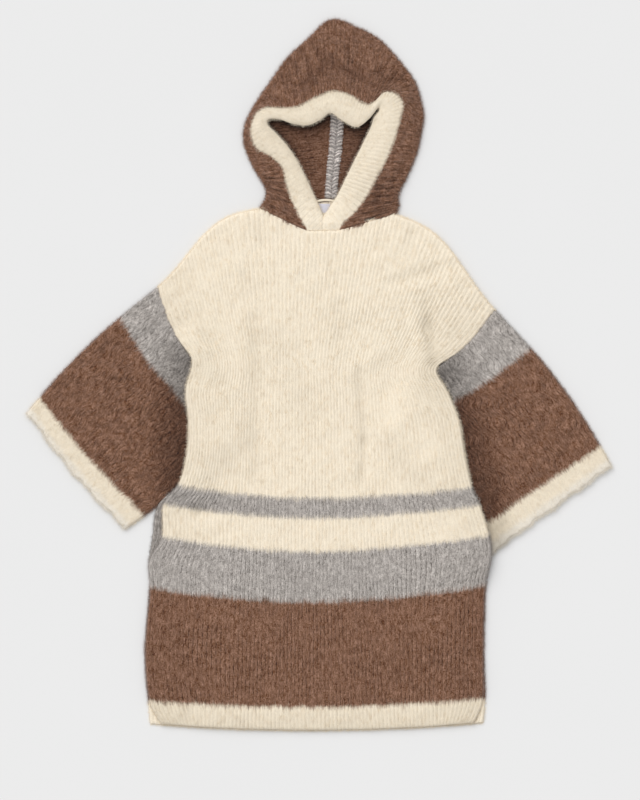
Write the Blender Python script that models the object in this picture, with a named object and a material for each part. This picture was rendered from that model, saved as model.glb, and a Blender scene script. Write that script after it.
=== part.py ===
"""A knit hoodie with wide short sleeves, laid flat on its back.

Metres, +Z up. X runs to the viewer's right and Y from the hem up to the hood. The origin is the
middle of the garment's box, on the surface that it lies on. Each piece is one closed wall of chunky
rib knit: its outer face stands up in ribs, and its inner face is plain. The tables give places on
the surface in millimetres, from a point at the middle of the hem's lowest edge.
"""

import math
from collections import namedtuple

import bmesh
import bpy
import numpy as np

MM = 0.001

# The cloth, in millimetres.
WALL = 3.0  # thickness of the knit without its ribs
RIB_HEIGHT = 1.2  # a rib above the valleys beside it
SEAM_GAP = 0.4  # between the edges of pieces that are sewn together
ARMHOLE_GAP = 1.0  # the same where a sleeve meets the body, whose edges bend there
LAYER_GAP = 0.4  # between layers that lie on each other
FOLD_HALF = 3.2  # half the thickness of a folded edge
THIN_EDGE = 0.45  # share of the wall left at a panel's outer edge, where it rolls down
ROLL_COLUMNS = 2.0  # columns of the front that this edge rolls down over

# The ribs. Each takes two columns of points: a ridge and a valley.
FRONT_RIBS = 84
SLEEVE_RIBS = 36
HOOD_RIBS = 104
PLAIN_STEP = 8  # columns of the front to one column of its plain face and of the back
SLEEVE_STEP = 6  # columns of a sleeve's top to one column of its plain faces
TINY = 1e-6  # stations and places closer than this are the same

# Yarns: colour, then roughness.
YARNS = {
    "cream": ((0.83, 0.74, 0.60, 1.0), 0.95),
    "grey": ((0.38, 0.35, 0.33, 1.0), 0.95),
    "brown": ((0.19, 0.105, 0.068, 1.0), 0.95),
    "seam_grey": ((0.42, 0.38, 0.36, 1.0), 0.9),
    "label_white": ((0.72, 0.70, 0.76, 1.0), 0.6),
}

# The body's panels, from the hem up: both side points, how far the middle hangs below them, how far
# the back reaches past the front at each side, and the front's and the back's yarns from here up to
# the next section.
BodySection = namedtuple(
    "BodySection", "left_x left_y right_x right_y dip back_left back_right yarn back_yarn"
)
BODY_SECTIONS = (
    BodySection(-259, 10, 258, 12, 11, 18, 15, "cream", "cream"),  # hem edge
    BodySection(-278, 48, 273, 52, 12, 2, 3, "brown", "brown"),  # top of the hem band
    BodySection(-285, 130, 273, 130, 18, 0, 0, "brown", "brown"),
    BodySection(-277, 234, 276, 237, 25, 0, 0, "grey", "brown"),  # wide grey stripe
    BodySection(-278, 278, 285, 285, 26, 1, 0, "grey", "grey"),
    BodySection(-257, 320, 282, 322, 27, 16, 0, "cream", "grey"),
    BodySection(-255, 372, 267, 371, 23, 9, 0, "grey", "grey"),  # thin grey stripe
    BodySection(-230, 405, 254, 401, 20, 0, 0, "cream", "cream"),
    BodySection(-216, 457, 242, 457, 15, 0, 0, "cream", "cream"),
    BodySection(-214, 511, 233, 511, 11, 0, 0, "cream", "cream"),
    BodySection(-218, 560, 215, 556, 8, 0, 0, "cream", "cream"),
    BodySection(-208, 609, 196, 596, 4, 0, 0, "cream", "cream"),  # where the seam of the armhole ends
)
YOKE_LEVELS = (0.33, 0.67, 1.0)  # shares of the way from the last section to the top edge
# The ribs run nearly straight up the body, and bend to follow its outline only beside it. This is
# where its sides would be without that bend, at the first section and at the last.
STRAIGHT_LEFT = (-268.0, -222.0)
STRAIGHT_RIGHT = (268.0, 212.0)
SIDE_BEND = 0.3  # share of the panel's width that the bend dies out over

# Corners of the top edge, shared by the body, the sleeves and the hood.
SHOULDER_LEFT = (-264.0, 731.0)
SHOULDER_RIGHT = (292.0, 693.0)
NECK_LEFT = (-96.0, 860.0)
NECK_FRONT_LEFT = (-16.5, 823.0)
NECK_FRONT_RIGHT = (33.0, 824.0)
NECK_RIGHT = (127.0, 851.0)
NECK_BACK = (27.0, 873.0)
FRONT_TOP = (
    (0, SHOULDER_LEFT),
    (54, NECK_LEFT),
    (75, NECK_FRONT_LEFT),
    (89, NECK_FRONT_RIGHT),
    (114, NECK_RIGHT),
    (168, SHOULDER_RIGHT),
)
BACK_TOP = (
    (0, SHOULDER_LEFT),
    (54, NECK_LEFT),
    (87, NECK_BACK),
    (114, NECK_RIGHT),
    (168, SHOULDER_RIGHT),
)
SHOULDER_BULGE_LEFT = 24.0
SHOULDER_BULGE_RIGHT = 22.0
SHOULDER_BULGE_POWER = 1.61  # puts the fullest place nearer the neck
ARMHOLE_BOW = 8.0
ARMHOLE_BOW_REACH = 0.15  # share of the panel's width that the bow dies out over

# The front stands a little off the back, and its soft folds are troughs in that loft.
PUFF = 2.4
PUFF_REACH = 45.0
Fold = namedtuple("Fold", "x1 y1 x2 y2 width depth")
FRONT_FOLDS = (
    Fold(-112, 571, -112, 401, 24, 1.8),
    Fold(58, 545, 73, 421, 16, 1.6),
    Fold(175, 676, 181, 610, 16, 1.6),
    Fold(181, 746, 213, 761, 12, 1.4),
    Fold(-97, 832, -92, 800, 14, 1.5),
)

# Sleeves: flattened tubes. The last column is how far the under layer shows past the cuff.
SleeveShape = namedtuple(
    "SleeveShape", "shoulder seam_end underarm cuff_low cuff_high edge_bulge cuff_bow under_show"
)
SLEEVES = {
    "sleeve_left": SleeveShape(
        SHOULDER_LEFT, (-208, 609), (-158, 503), (-323, 328), (-485, 518), 10, 6, 0
    ),
    "sleeve_right": SleeveShape(
        SHOULDER_RIGHT, (196, 596), (149, 498), (286, 287), (487, 431), 13, 0, 7
    ),
}
SEAM_END_SHARE = 0.56  # of the way round the armhole, from the shoulder to the underarm
SleeveSection = namedtuple("SleeveSection", "along_top along_bottom yarn")
SLEEVE_SECTIONS = (
    SleeveSection(0.0, 0.0, "grey"),
    SleeveSection(0.13, 0.07, "grey"),
    SleeveSection(0.26, 0.14, "brown"),
    SleeveSection(0.42, 0.32, "brown"),
    SleeveSection(0.57, 0.50, "brown"),
    SleeveSection(0.73, 0.67, "brown"),
    SleeveSection(0.87, 0.82, "cream"),
    SleeveSection(1.0, 1.0, "cream"),
)
SLEEVE_INNER_GAP = 0.5
SLEEVE_INSET = WALL + 1.0  # of the inner face's folds from the outer ones

# The sleeves' inner corners lie under the body, which rises over them.
LIFT = 8.9
LIFT_MARGIN = 10.0
LIFT_REACH = 55.0
TUCKED_CORNERS = (
    ((-208, 609), (-158, 503), (-223, 421)),
    ((196, 596), (149, 498), (286, 287)),
)

# The hood, from its left neck edge over the crown to its right one: the face edge and how high it
# stands, the outer edge of the cream band and how high that stands, the folded outline, the place
# of its rib on the back seam, and how strongly the ribs are bunched.
HoodSection = namedtuple(
    "HoodSection", "face_x face_y face_z band_x band_y band_z fold_x fold_y seam_y bunch"
)
HOOD_SECTIONS = (
    HoodSection(7.9, 823.5, 8.0, -16.5, 823, 7.6, -96, 860, 873, 1.5),
    HoodSection(7.9, 843, 8.6, -28, 843, 8.8, -89, 870, 881, 1.7),
    HoodSection(4, 860, 9.2, -36, 858, 10, -85, 879, 891, 1.8),
    HoodSection(-5, 879, 10, -45, 878, 11, -84, 891, 903, 1.8),
    HoodSection(-18, 907.5, 11, -53, 903, 12.5, -89, 903, 917, 1.6),
    HoodSection(-33, 937, 12, -58, 927, 13, -101, 921, 937, 1.2),
    HoodSection(-49.5, 962, 13, -76, 945, 13, -112, 942, 959, 1.0),
    HoodSection(-68, 983, 14, -101, 959, 12, -120, 965, 980, 1.0),
    HoodSection(-82.5, 998, 16, -111, 985, 11.5, -122, 987, 1003, 1.0),
    HoodSection(-81, 1007, 18, -105, 1012, 12, -115, 1011, 1026, 1.0),
    HoodSection(-64, 1007, 20, -89, 1025.5, 16, -101, 1036, 1048, 1.0),
    HoodSection(-43, 1000, 22, -63, 1026, 20, -79, 1068, 1072.5, 1.0),
    HoodSection(-16.5, 997, 24, -35, 1027, 22, -51, 1107, 1100.5, 1.0),
    HoodSection(5, 1006.5, 25, -3, 1043, 24, -18, 1138.5, 1129, 1.0),
    HoodSection(20.6, 1017, 26, 26, 1053, 25, 21.5, 1171.5, 1152, 1.0),
    HoodSection(39.6, 1005, 25, 53, 1046, 24, 61, 1160, 1129, 1.0),
    HoodSection(63, 994, 23, 77.5, 1032, 22, 99, 1140, 1100.5, 1.0),
    HoodSection(82.5, 1006, 21, 91, 1035, 20, 132, 1105.5, 1072.5, 1.0),
    HoodSection(99, 1025.5, 18, 109, 1051, 21, 157, 1072.5, 1048, 1.0),
    HoodSection(100, 1020, 16, 129, 1048.5, 21, 168, 1041, 1026, 1.0),
    HoodSection(92, 1010, 15, 140, 1030, 18, 173, 1013, 1003, 1.0),
    HoodSection(86, 992, 14, 132, 995, 16, 169, 985, 980, 1.0),
    HoodSection(69, 957, 13, 120, 957, 14, 162, 954, 959, 1.1),
    HoodSection(51, 921, 12, 102, 921, 13, 148.5, 921, 932, 1.4),
    HoodSection(33, 884, 10.5, 79, 879, 10, 131, 884, 907.5, 1.7),
    HoodSection(18, 861, 9.4, 59, 853, 9, 132, 868, 889, 1.7),
    HoodSection(8.9, 843, 8.6, 44.5, 840, 8.4, 130, 860, 881, 1.6),
    HoodSection(8.9, 823.5, 8.0, 33, 824, 7.6, 127, 851, 873, 1.5),
)
HOOD_CROWN = 14  # the section at the crown
HOOD_COARSE = 4  # columns of ribs to one column of the plain faces
BAND_LEVELS = (0.0, 0.3, 0.75, 1.0)  # across the cream band, from the face edge
BAND_ROLL = (0.0, 1.0, 0.6, 0.0)  # how far each of those stands up
CROWN_LEVELS = (0.33, 0.67, 1.0)  # from the band to the fold
UNDER_LEVEL = 0.5  # between the fold and the back seam
HOOD_SEAM_SLIT = 0.4  # half the slit that the back seam closes
HOOD_INSET = WALL + 1.2  # of the inner face's fold from the outer one
HOOD_ROUND = 2.0  # how far further in the inner face is level again
HOOD_INNER_DROP = WALL - 0.2  # of the inner face below the outer one, beside the fold
HOOD_SAMPLES = 40  # to a section, for the length round the hood
HOOD_STEP = 0.05  # of a section, to each side of a place, for the way its outline runs
# How far along the hood's neck edge each row of the outer and of the inner face stands.
HOOD_OUTER_LEVELS = (0.0, 0.12, 0.3, 0.4, 0.5, 0.6, 0.68, 0.7, 0.72, 0.86, 1.0)
HOOD_INNER_LEVELS = (0.0, 0.4, 0.54, 0.68, 0.7, 0.72, 0.86, 1.0)

# The back seam's line, from the neck up.
SeamPoint = namedtuple("SeamPoint", "y x half_width")
SEAM_LINE = (
    SeamPoint(873, 27, 5.0),
    SeamPoint(889, 28, 9.0),
    SeamPoint(932, 24, 11.5),
    SeamPoint(976, 27, 11.5),
    SeamPoint(1010, 30.5, 11.5),
    SeamPoint(1072, 30, 11.5),
    SeamPoint(1152, 25, 8.0),
)
RIDGE_START, RIDGE_END, RIDGE_ROWS = 877.0, 1100.0, 15
RIDGE_PROFILE = (  # across the seam: share of its half width, then height
    (-1.0, 0.8),
    (-0.8, 2.2),
    (-0.45, 2.8),
    (-0.12, 1.6),
    (0.12, 1.6),
    (0.45, 2.8),
    (0.8, 2.2),
    (1.0, 0.8),
)

# The label lies on the back's inner face.
LABEL_LEFT, LABEL_RIGHT = 0.5, 20.0
LABEL_LOW, LABEL_HIGH = 853.0, 868.5
LABEL_THICKNESS = 0.9

Row = namedtuple("Row", "points stations")  # points in millimetres, and how far along each stands


def lerp(low, high, share):
    return low + (high - low) * share


def smooth(share):
    share = np.clip(share, 0.0, 1.0)
    return share * share * (3.0 - 2.0 * share)


def row_of(flat, heights, stations):
    """A row of points from places on the surface and their heights."""
    heights = np.broadcast_to(np.asarray(heights, float), (len(flat),))
    return Row(np.column_stack([flat, heights]), np.asarray(stations, float))


def ridges(columns):
    """One on each ridge's column and nought on each valley's."""
    return (np.asarray(columns) % 2).astype(float)


# ---------------------------------------------------------------- distances


def distance_to_segment(flat, start, end):
    start = np.asarray(start, float)
    run = np.asarray(end, float) - start
    share = np.clip(((flat - start) @ run) / (run @ run), 0.0, 1.0)
    return np.linalg.norm(flat - start - share[:, None] * run, axis=1)


def distance_outside(flat, corners):
    """How far each place lies outside a triangle, and nought inside it."""
    corners = [np.asarray(corner, float) for corner in corners]
    nearest = np.full(len(flat), np.inf)
    turns = []
    for start, end in zip(corners, corners[1:] + corners[:1]):
        nearest = np.minimum(nearest, distance_to_segment(flat, start, end))
        run = end - start
        turns.append(run[0] * (flat[:, 1] - start[1]) - run[1] * (flat[:, 0] - start[0]))
    turns = np.array(turns)
    inside = (turns >= 0).all(axis=0) | (turns <= 0).all(axis=0)
    return np.where(inside, 0.0, nearest)


def lift(flat):
    """How far the body rises over the tucked corners of the sleeves."""
    rise = np.zeros(len(flat))
    for corners in TUCKED_CORNERS:
        away = distance_outside(flat, corners) - LIFT_MARGIN
        rise = np.maximum(rise, LIFT * (1.0 - smooth(away / LIFT_REACH)))
    return rise


# ---------------------------------------------------------------- building solids


def add_faces(mesh, first, second, first_stations, second_stations, material):
    """Faces between two rows of vertices, which may differ in number."""
    i = j = 0
    faces = []
    while i < len(first) - 1 or j < len(second) - 1:
        next_first = first_stations[i + 1] if i < len(first) - 1 else math.inf
        next_second = second_stations[j + 1] if j < len(second) - 1 else math.inf
        if abs(next_first - next_second) < TINY:
            faces.append((first[i], first[i + 1], second[j + 1], second[j]))
            i += 1
            j += 1
        elif next_first < next_second:
            faces.append((first[i], first[i + 1], second[j]))
            i += 1
        else:
            faces.append((first[i], second[j + 1], second[j]))
            j += 1
    for corners in faces:
        mesh.faces.new(corners).material_index = material


def add_skin(mesh, rows, materials, ring):
    """One face of a wall. Returns its rows of vertices and their stations."""
    made = []
    for row in rows:
        vertices = [mesh.verts.new(point * MM) for point in row.points]
        stations = list(row.stations)
        if ring:
            vertices.append(vertices[0])
            stations.append(stations[0] + 1.0)
        made.append((vertices, stations))
    for level in range(len(made) - 1):
        (first, first_stations), (second, second_stations) = made[level], made[level + 1]
        add_faces(mesh, first, second, first_stations, second_stations, materials[level])
    return made


def wall_solid(name, outer, inner, outer_yarns, inner_yarns, yarns, ring=False, levels=None):
    """A closed solid from the rows of its outer face and those of its inner face.

    levels gives how far up the piece each outer and each inner row stands, for the side walls.
    """
    mesh = bmesh.new()
    slots = {yarn: slot for slot, yarn in enumerate(yarns)}
    outer_made = add_skin(mesh, outer, [slots[yarn] for yarn in outer_yarns], ring)
    inner_made = add_skin(mesh, inner, [slots[yarn] for yarn in inner_yarns], ring)
    for end, yarn in ((0, outer_yarns[0]), (-1, outer_yarns[-1])):
        (first, first_stations), (second, second_stations) = outer_made[end], inner_made[end]
        add_faces(mesh, first, second, first_stations, second_stations, slots[yarn])
    if not ring:
        for side in (0, -1):
            first = [vertices[side] for vertices, _ in outer_made]
            second = [vertices[side] for vertices, _ in inner_made]
            add_faces(mesh, first, second, levels[0], levels[1], slots[outer_yarns[0]])
    bmesh.ops.recalc_face_normals(mesh, faces=mesh.faces)
    data = bpy.data.meshes.new(name)
    mesh.to_mesh(data)
    mesh.free()
    solid = bpy.data.objects.new(name, data)
    bpy.context.scene.collection.objects.link(solid)
    for yarn in yarns:
        data.materials.append(yarn_material(yarn))
    return solid


def yarn_material(yarn):
    found = bpy.data.materials.get(yarn)
    if found:
        return found
    colour, roughness = YARNS[yarn]
    material = bpy.data.materials.new(yarn)
    material.use_nodes = True
    shader = material.node_tree.nodes["Principled BSDF"]
    shader.inputs["Base Color"].default_value = colour
    shader.inputs["Roughness"].default_value = roughness
    shader.inputs["Metallic"].default_value = 0.0
    material.diffuse_color = colour
    return material


# ---------------------------------------------------------------- body


def top_edge(columns, corners):
    """The shoulders and the neck edge of a panel, at these columns."""
    knots = [knot for knot, _ in corners]
    x = np.interp(columns, knots, [place[0] for _, place in corners])
    y = np.interp(columns, knots, [place[1] for _, place in corners])
    flat = np.column_stack([x, y])
    right_share = (knots[-1] - columns) / (knots[-1] - knots[-2])
    for share, tip, neck, bulge in (
        (columns / knots[1], SHOULDER_LEFT, NECK_LEFT, SHOULDER_BULGE_LEFT),
        (right_share, SHOULDER_RIGHT, NECK_RIGHT, -SHOULDER_BULGE_RIGHT),
    ):
        run = np.subtract(neck, tip)
        square = np.array([-run[1], run[0]]) / np.linalg.norm(run)
        height = bulge * np.sin(math.pi * np.clip(share, 0.0, 1.0) ** SHOULDER_BULGE_POWER)
        flat += height[:, None] * square
    flat[:, 1] -= SEAM_GAP
    return flat


def armhole_bow(share, columns, count):
    """How far the armholes' edges bow out at this share of their height."""
    height = ARMHOLE_BOW * math.sin(math.pi * share)
    bow = np.zeros((len(columns), 2))
    across = columns / count
    for near, low, high, side in (
        (across, BODY_SECTIONS[-1][0:2], SHOULDER_LEFT, 1.0),
        (1.0 - across, BODY_SECTIONS[-1][2:4], SHOULDER_RIGHT, -1.0),
    ):
        run = np.subtract(high, low)
        square = side * np.array([-run[1], run[0]]) / np.linalg.norm(run)
        bow += (height * (1.0 - smooth(near / ARMHOLE_BOW_REACH)))[:, None] * square
    return bow


def section_line(section, columns, count, back):
    across = columns / count
    left = section.left_x - (section.back_left if back else 0.0)
    right = section.right_x + (section.back_right if back else 0.0)
    first, last = BODY_SECTIONS[0], BODY_SECTIONS[-1]
    up = (section.left_y - first.left_y) / (last.left_y - first.left_y)
    straight_left, straight_right = lerp(*STRAIGHT_LEFT, up), lerp(*STRAIGHT_RIGHT, up)
    x = lerp(straight_left, straight_right, across)
    x += (left - straight_left) * (1.0 - smooth(across / SIDE_BEND))
    x += (right - straight_right) * (1.0 - smooth((1.0 - across) / SIDE_BEND))
    y = lerp(section.left_y, section.right_y, across) - section.dip * 4 * across * (1 - across)
    return np.column_stack([x, y])


def panel_lines(columns, corners, back):
    """Places of a panel's rows, from the hem to the top edge."""
    count = corners[-1][0]
    lines = [section_line(section, columns, count, back) for section in BODY_SECTIONS]
    last = lines[-1]
    top = top_edge(columns, corners)
    for share in YOKE_LEVELS:
        lines.append(lerp(last, top, share) + armhole_bow(share, columns, count))
    return lines


def panel_yarns(back):
    """The yarn of each row of faces, of which the last ones are above the sections."""
    yarns = [section.back_yarn if back else section.yarn for section in BODY_SECTIONS]
    return yarns + [yarns[-1]] * (len(YOKE_LEVELS) - 1)


def plain_columns():
    """Columns of the body's plain faces, the same on both panels so that they nest."""
    count = FRONT_TOP[-1][0]
    corners = {knot for knot, _ in FRONT_TOP + BACK_TOP}
    return np.array(sorted(set(range(0, count + 1, PLAIN_STEP)) | corners), float)


def front_loft(flat, columns, count, level, levels):
    """How far the front's inner face stands above the back."""
    side = np.minimum(columns, count - columns) / count * (BODY_SECTIONS[0].right_x * 2)
    end = min(level, levels - 1 - level)
    loft = PUFF * smooth(side / PUFF_REACH) * min(1.0, end)
    for fold in FRONT_FOLDS:
        away = distance_to_segment(flat, fold[0:2], fold[2:4]) / fold.width
        loft -= fold.depth * np.exp(-away * away)
    return np.maximum(loft, 0.0)


def front_rows(columns, ribbed):
    lines = panel_lines(columns, FRONT_TOP, back=False)
    count = FRONT_TOP[-1][0]
    edge = np.minimum(columns, count - columns)
    rows = []
    for level, flat in enumerate(lines):
        height = lift(flat) + WALL + LAYER_GAP
        height += front_loft(flat, columns, count, level, len(lines))
        if ribbed:
            height += WALL * lerp(THIN_EDGE, 1.0, np.clip(edge / ROLL_COLUMNS, 0.0, 1.0))
            height += RIB_HEIGHT * ridges(columns) * (edge > 1)
        rows.append(row_of(flat, height, columns / count))
    return rows


def make_front():
    outer = front_rows(np.arange(2 * FRONT_RIBS + 1.0), ribbed=True)
    inner = front_rows(plain_columns(), ribbed=False)
    yarns = panel_yarns(back=False)
    levels = list(range(len(outer)))
    return wall_solid(
        "front", outer, inner, yarns, yarns, ("cream", "grey", "brown"), levels=(levels, levels)
    )


def make_back():
    columns = plain_columns()
    count = BACK_TOP[-1][0]
    outer = []
    inner = []
    for flat in panel_lines(columns, BACK_TOP, back=True):
        rise = lift(flat)
        outer.append(row_of(flat, rise, columns / count))
        inner.append(row_of(flat, rise + WALL, columns / count))
    yarns = panel_yarns(back=True)
    levels = list(range(len(outer)))
    return wall_solid(
        "back", outer, inner, yarns, yarns, ("cream", "grey", "brown"), levels=(levels, levels)
    )


# ---------------------------------------------------------------- sleeves


def armhole_place(shape, across):
    """The sleeve's inner edge: along the armhole's seam, then on under the body."""
    run = np.subtract(shape.seam_end, shape.shoulder)
    square = np.array([-run[1], run[0]]) / np.linalg.norm(run)
    if square @ np.subtract(shape.cuff_low, shape.underarm) < 0:
        square = -square
    if across <= SEAM_END_SHARE:
        share = across / SEAM_END_SHARE
        place = lerp(np.array(shape.shoulder, float), np.array(shape.seam_end, float), share)
        return place + square * (ARMHOLE_BOW * math.sin(math.pi * share) + ARMHOLE_GAP)
    share = (across - SEAM_END_SHARE) / (1.0 - SEAM_END_SHARE)
    place = lerp(np.array(shape.seam_end, float), np.array(shape.underarm, float), share)
    return place + square * ARMHOLE_GAP


def sleeve_place(shape, section, across, under=False):
    """A place on the sleeve, across from its upper fold (0) to its lower fold (1)."""
    start = armhole_place(shape, across)
    end = lerp(np.array(shape.cuff_high, float), np.array(shape.cuff_low, float), across)
    outward = np.subtract(shape.cuff_high, shape.shoulder)
    outward = outward / np.linalg.norm(outward)
    end = end + outward * shape.cuff_bow * math.sin(math.pi * across)
    if under:
        end = end + outward * shape.under_show * math.sin(math.pi * across)
    along = lerp(section.along_top, section.along_bottom, across)
    place = lerp(start, end, along)
    middle = np.mean([shape.shoulder, shape.cuff_high, shape.underarm, shape.cuff_low], axis=0)
    square = np.array([-outward[1], outward[0]])
    if square @ (np.array(shape.shoulder) - middle) < 0:
        square = -square
    bulge = shape.edge_bulge * math.sin(math.pi * along) * (1.0 - across) ** 2
    return place + square * bulge


def sleeve_ring(shape, section, columns, inset, top, bottom, middle, plain):
    """One ring round the flattened tube: over its top from fold to fold, then back below."""
    count = 2 * SLEEVE_RIBS
    flat = []
    heights = []
    stations = []
    width = np.linalg.norm(np.subtract(shape.cuff_high, shape.cuff_low))
    edge = inset / width
    for column in columns:
        across = lerp(edge, 1.0 - edge, column / count)
        flat.append(sleeve_place(shape, section, across))
        at_fold = column in (0, count)
        heights.append(middle if at_fold else top + RIB_HEIGHT * (column % 2) * (not plain))
        stations.append(0.5 * column / count)
    for column in coarse_sleeve_columns()[-2:0:-1]:
        across = lerp(edge, 1.0 - edge, column / count)
        flat.append(sleeve_place(shape, section, across, under=True))
        heights.append(bottom)
        stations.append(1.0 - 0.5 * column / count)
    return row_of(np.array(flat), heights, stations)


def coarse_sleeve_columns():
    """Columns of a sleeve's plain faces: spaced out, and closer at both folds."""
    last = 2 * SLEEVE_RIBS
    return np.array([0, 1, *range(SLEEVE_STEP, last, SLEEVE_STEP), last - 1, last])


def make_sleeve(name):
    shape = SLEEVES[name]
    fine = np.arange(2 * SLEEVE_RIBS + 1)
    coarse = coarse_sleeve_columns()
    low_inside = WALL
    high_inside = WALL + SLEEVE_INNER_GAP
    fold = (low_inside + high_inside) / 2.0
    outer = []
    inner = []
    for section in SLEEVE_SECTIONS:
        outer.append(
            sleeve_ring(shape, section, fine, 0.0, high_inside + WALL, 0.0, fold, plain=False)
        )
        inner.append(
            sleeve_ring(
                shape, section, coarse, SLEEVE_INSET, high_inside, low_inside, fold, plain=True
            )
        )
    yarns = [section.yarn for section in SLEEVE_SECTIONS[:-1]]
    return wall_solid(name, outer, inner, yarns, yarns, ("grey", "brown", "cream"), ring=True)


# ---------------------------------------------------------------- hood


def through(values, place):
    """A smooth curve through the values, read at this place counted in sections."""
    last = len(values) - 1
    start = min(int(place), last - 1)
    share = place - start
    before = values[max(start - 1, 0)]
    low, high = values[start], values[start + 1]
    after = values[min(start + 2, last)]
    slope_low = (high - before) / 2.0
    slope_high = (after - low) / 2.0
    square, cube = share * share, share * share * share
    return (
        (2 * cube - 3 * square + 1) * low
        + (cube - 2 * square + share) * slope_low
        + (3 * square - 2 * cube) * high
        + (cube - square) * slope_high
    )


def hood_places(count):
    """Places counted in sections for count + 1 columns, evenly spaced along the hood's middle."""
    table = np.array(HOOD_SECTIONS)
    fine = np.linspace(0.0, len(table) - 1.0, HOOD_SAMPLES * len(table))
    middles = np.array([(through(table[:, 3:5], p) + through(table[:, 6:8], p)) / 2 for p in fine])
    steps = np.linalg.norm(np.diff(middles, axis=0), axis=1)
    length = np.concatenate([[0.0], np.cumsum(steps)])
    return np.interp(np.linspace(0.0, length[-1], count + 1), length, fine)


def hood_section(place):
    table = np.array(HOOD_SECTIONS)
    return HoodSection(*through(table, place))


def seam_x(y):
    return np.interp(y, [point.y for point in SEAM_LINE], [point.x for point in SEAM_LINE])


def fold_inward(place):
    """The way in from the hood's outline, square to it. At the neck it follows the neck's edge."""
    last = len(HOOD_SECTIONS) - 1.0
    section = hood_section(place)
    fold = np.array([section.fold_x, section.fold_y])
    if place < TINY or place > last - TINY:
        over = np.array([section.band_x, section.band_y]) - fold
        under = np.array([seam_x(section.seam_y), section.seam_y]) - fold
        return over / np.linalg.norm(over), under / np.linalg.norm(under)
    before = hood_section(max(place - HOOD_STEP, 0.0))
    after = hood_section(min(place + HOOD_STEP, last))
    run = np.array([after.fold_x - before.fold_x, after.fold_y - before.fold_y])
    inward = np.array([run[1], -run[0]]) / np.linalg.norm(run)
    return inward, inward


def hood_rib(place, column):
    """The outer face along one rib, from the face edge to the fold."""
    section = hood_section(place)
    face = np.array([section.face_x, section.face_y])
    band = np.array([section.band_x, section.band_y])
    fold = np.array([section.fold_x, section.fold_y])
    over, _ = fold_inward(place)
    rim = fold + over * FOLD_HALF
    ridge = RIB_HEIGHT * section.bunch * (column % 2)
    points = []
    for share, roll in zip(BAND_LEVELS, BAND_ROLL):
        height = lerp(section.face_z, section.band_z, share) + roll + ridge
        points.append((*lerp(face, band, share), height))
    for share in CROWN_LEVELS:
        height = lerp(section.band_z, 2 * FOLD_HALF, share)
        points.append((*lerp(band, rim, share), height + (ridge if share < 1.0 else 0.0)))
    return points


def hood_plain(place):
    """The rest of the outer face below the fold, then the whole inner face, as plain points."""
    section = hood_section(place)
    face = np.array([section.face_x, section.face_y])
    band = np.array([section.band_x, section.band_y])
    fold = np.array([section.fold_x, section.fold_y])
    over, under = fold_inward(place)
    side = np.sign(place - HOOD_CROWN)
    seam = np.array([seam_x(section.seam_y) + side * HOOD_SEAM_SLIT, section.seam_y])
    half = lerp(fold, seam, UNDER_LEVEL)
    middle = lerp(band, fold + over * 2 * HOOD_INSET, 0.5)
    level = HOOD_INSET + HOOD_ROUND
    outer = [
        (*fold, FOLD_HALF),
        (*(fold + under * FOLD_HALF), 0.0),
        (*half, 0.0),
        (*seam, 0.0),
    ]
    inner = [
        (*face, section.face_z - WALL),
        (*band, section.band_z - WALL),
        (*middle, lerp(section.band_z, 2 * FOLD_HALF, 0.5) - WALL),
        (*(fold + over * level), 2 * FOLD_HALF - HOOD_INNER_DROP),
        (*(fold + (over + under) / 2 * HOOD_INSET), FOLD_HALF),
        (*(fold + under * level), WALL),
        (*half, WALL),
        (*seam, WALL),
    ]
    return outer, inner


def make_hood():
    count = 2 * HOOD_RIBS
    places = hood_places(count)
    fine = [hood_rib(place, column) for column, place in enumerate(places)]
    plain = [hood_plain(place) for place in places[::HOOD_COARSE]]
    fine_stations = np.linspace(0.0, 1.0, len(fine))
    plain_stations = np.linspace(0.0, 1.0, len(plain))
    outer = [Row(np.array(level), fine_stations) for level in zip(*fine)]
    outer += [Row(np.array(level), plain_stations) for level in zip(*[sides[0] for sides in plain])]
    inner = [Row(np.array(level), plain_stations) for level in zip(*[sides[1] for sides in plain])]
    band = len(BAND_LEVELS) - 1
    outer_yarns = ["cream"] * band + ["brown"] * (len(outer) - 1 - band)
    inner_yarns = ["cream"] + ["brown"] * (len(inner) - 2)
    levels = (HOOD_OUTER_LEVELS, HOOD_INNER_LEVELS)
    return wall_solid(
        "hood", outer, inner, outer_yarns, inner_yarns, ("cream", "brown"), levels=levels
    )


def make_back_seam():
    """Two bulging rows of overlocking with a groove between them."""
    floor = WALL + LAYER_GAP
    known_y = [point.y for point in SEAM_LINE]
    halves = [point.half_width for point in SEAM_LINE]
    outer = []
    inner = []
    for y in np.linspace(RIDGE_START, RIDGE_END, RIDGE_ROWS):
        half = np.interp(y, known_y, halves)
        x = seam_x(y)
        shares = np.array([share for share, _ in RIDGE_PROFILE])
        flat = np.column_stack([x + shares * half, np.full(len(shares), y)])
        stations = (shares + 1.0) / 2.0
        outer.append(row_of(flat, [floor + height for _, height in RIDGE_PROFILE], stations))
        ends = [0, -1]
        inner.append(row_of(flat[ends], floor, stations[ends]))
    yarns = ["seam_grey"] * (RIDGE_ROWS - 1)
    levels = list(range(RIDGE_ROWS))
    return wall_solid(
        "hood_back_seam", outer, inner, yarns, yarns, ("seam_grey",), levels=(levels, levels)
    )


def make_label():
    floor = WALL + LAYER_GAP
    outer = []
    inner = []
    for y in (LABEL_LOW, LABEL_HIGH):
        flat = np.array([(LABEL_LEFT, y), (LABEL_RIGHT, y)])
        outer.append(row_of(flat, floor + LABEL_THICKNESS, (0.0, 1.0)))
        inner.append(row_of(flat, floor, (0.0, 1.0)))
    return wall_solid(
        "neck_label",
        outer,
        inner,
        ["label_white"],
        ["label_white"],
        ("label_white",),
        levels=([0, 1], [0, 1]),
    )


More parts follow.
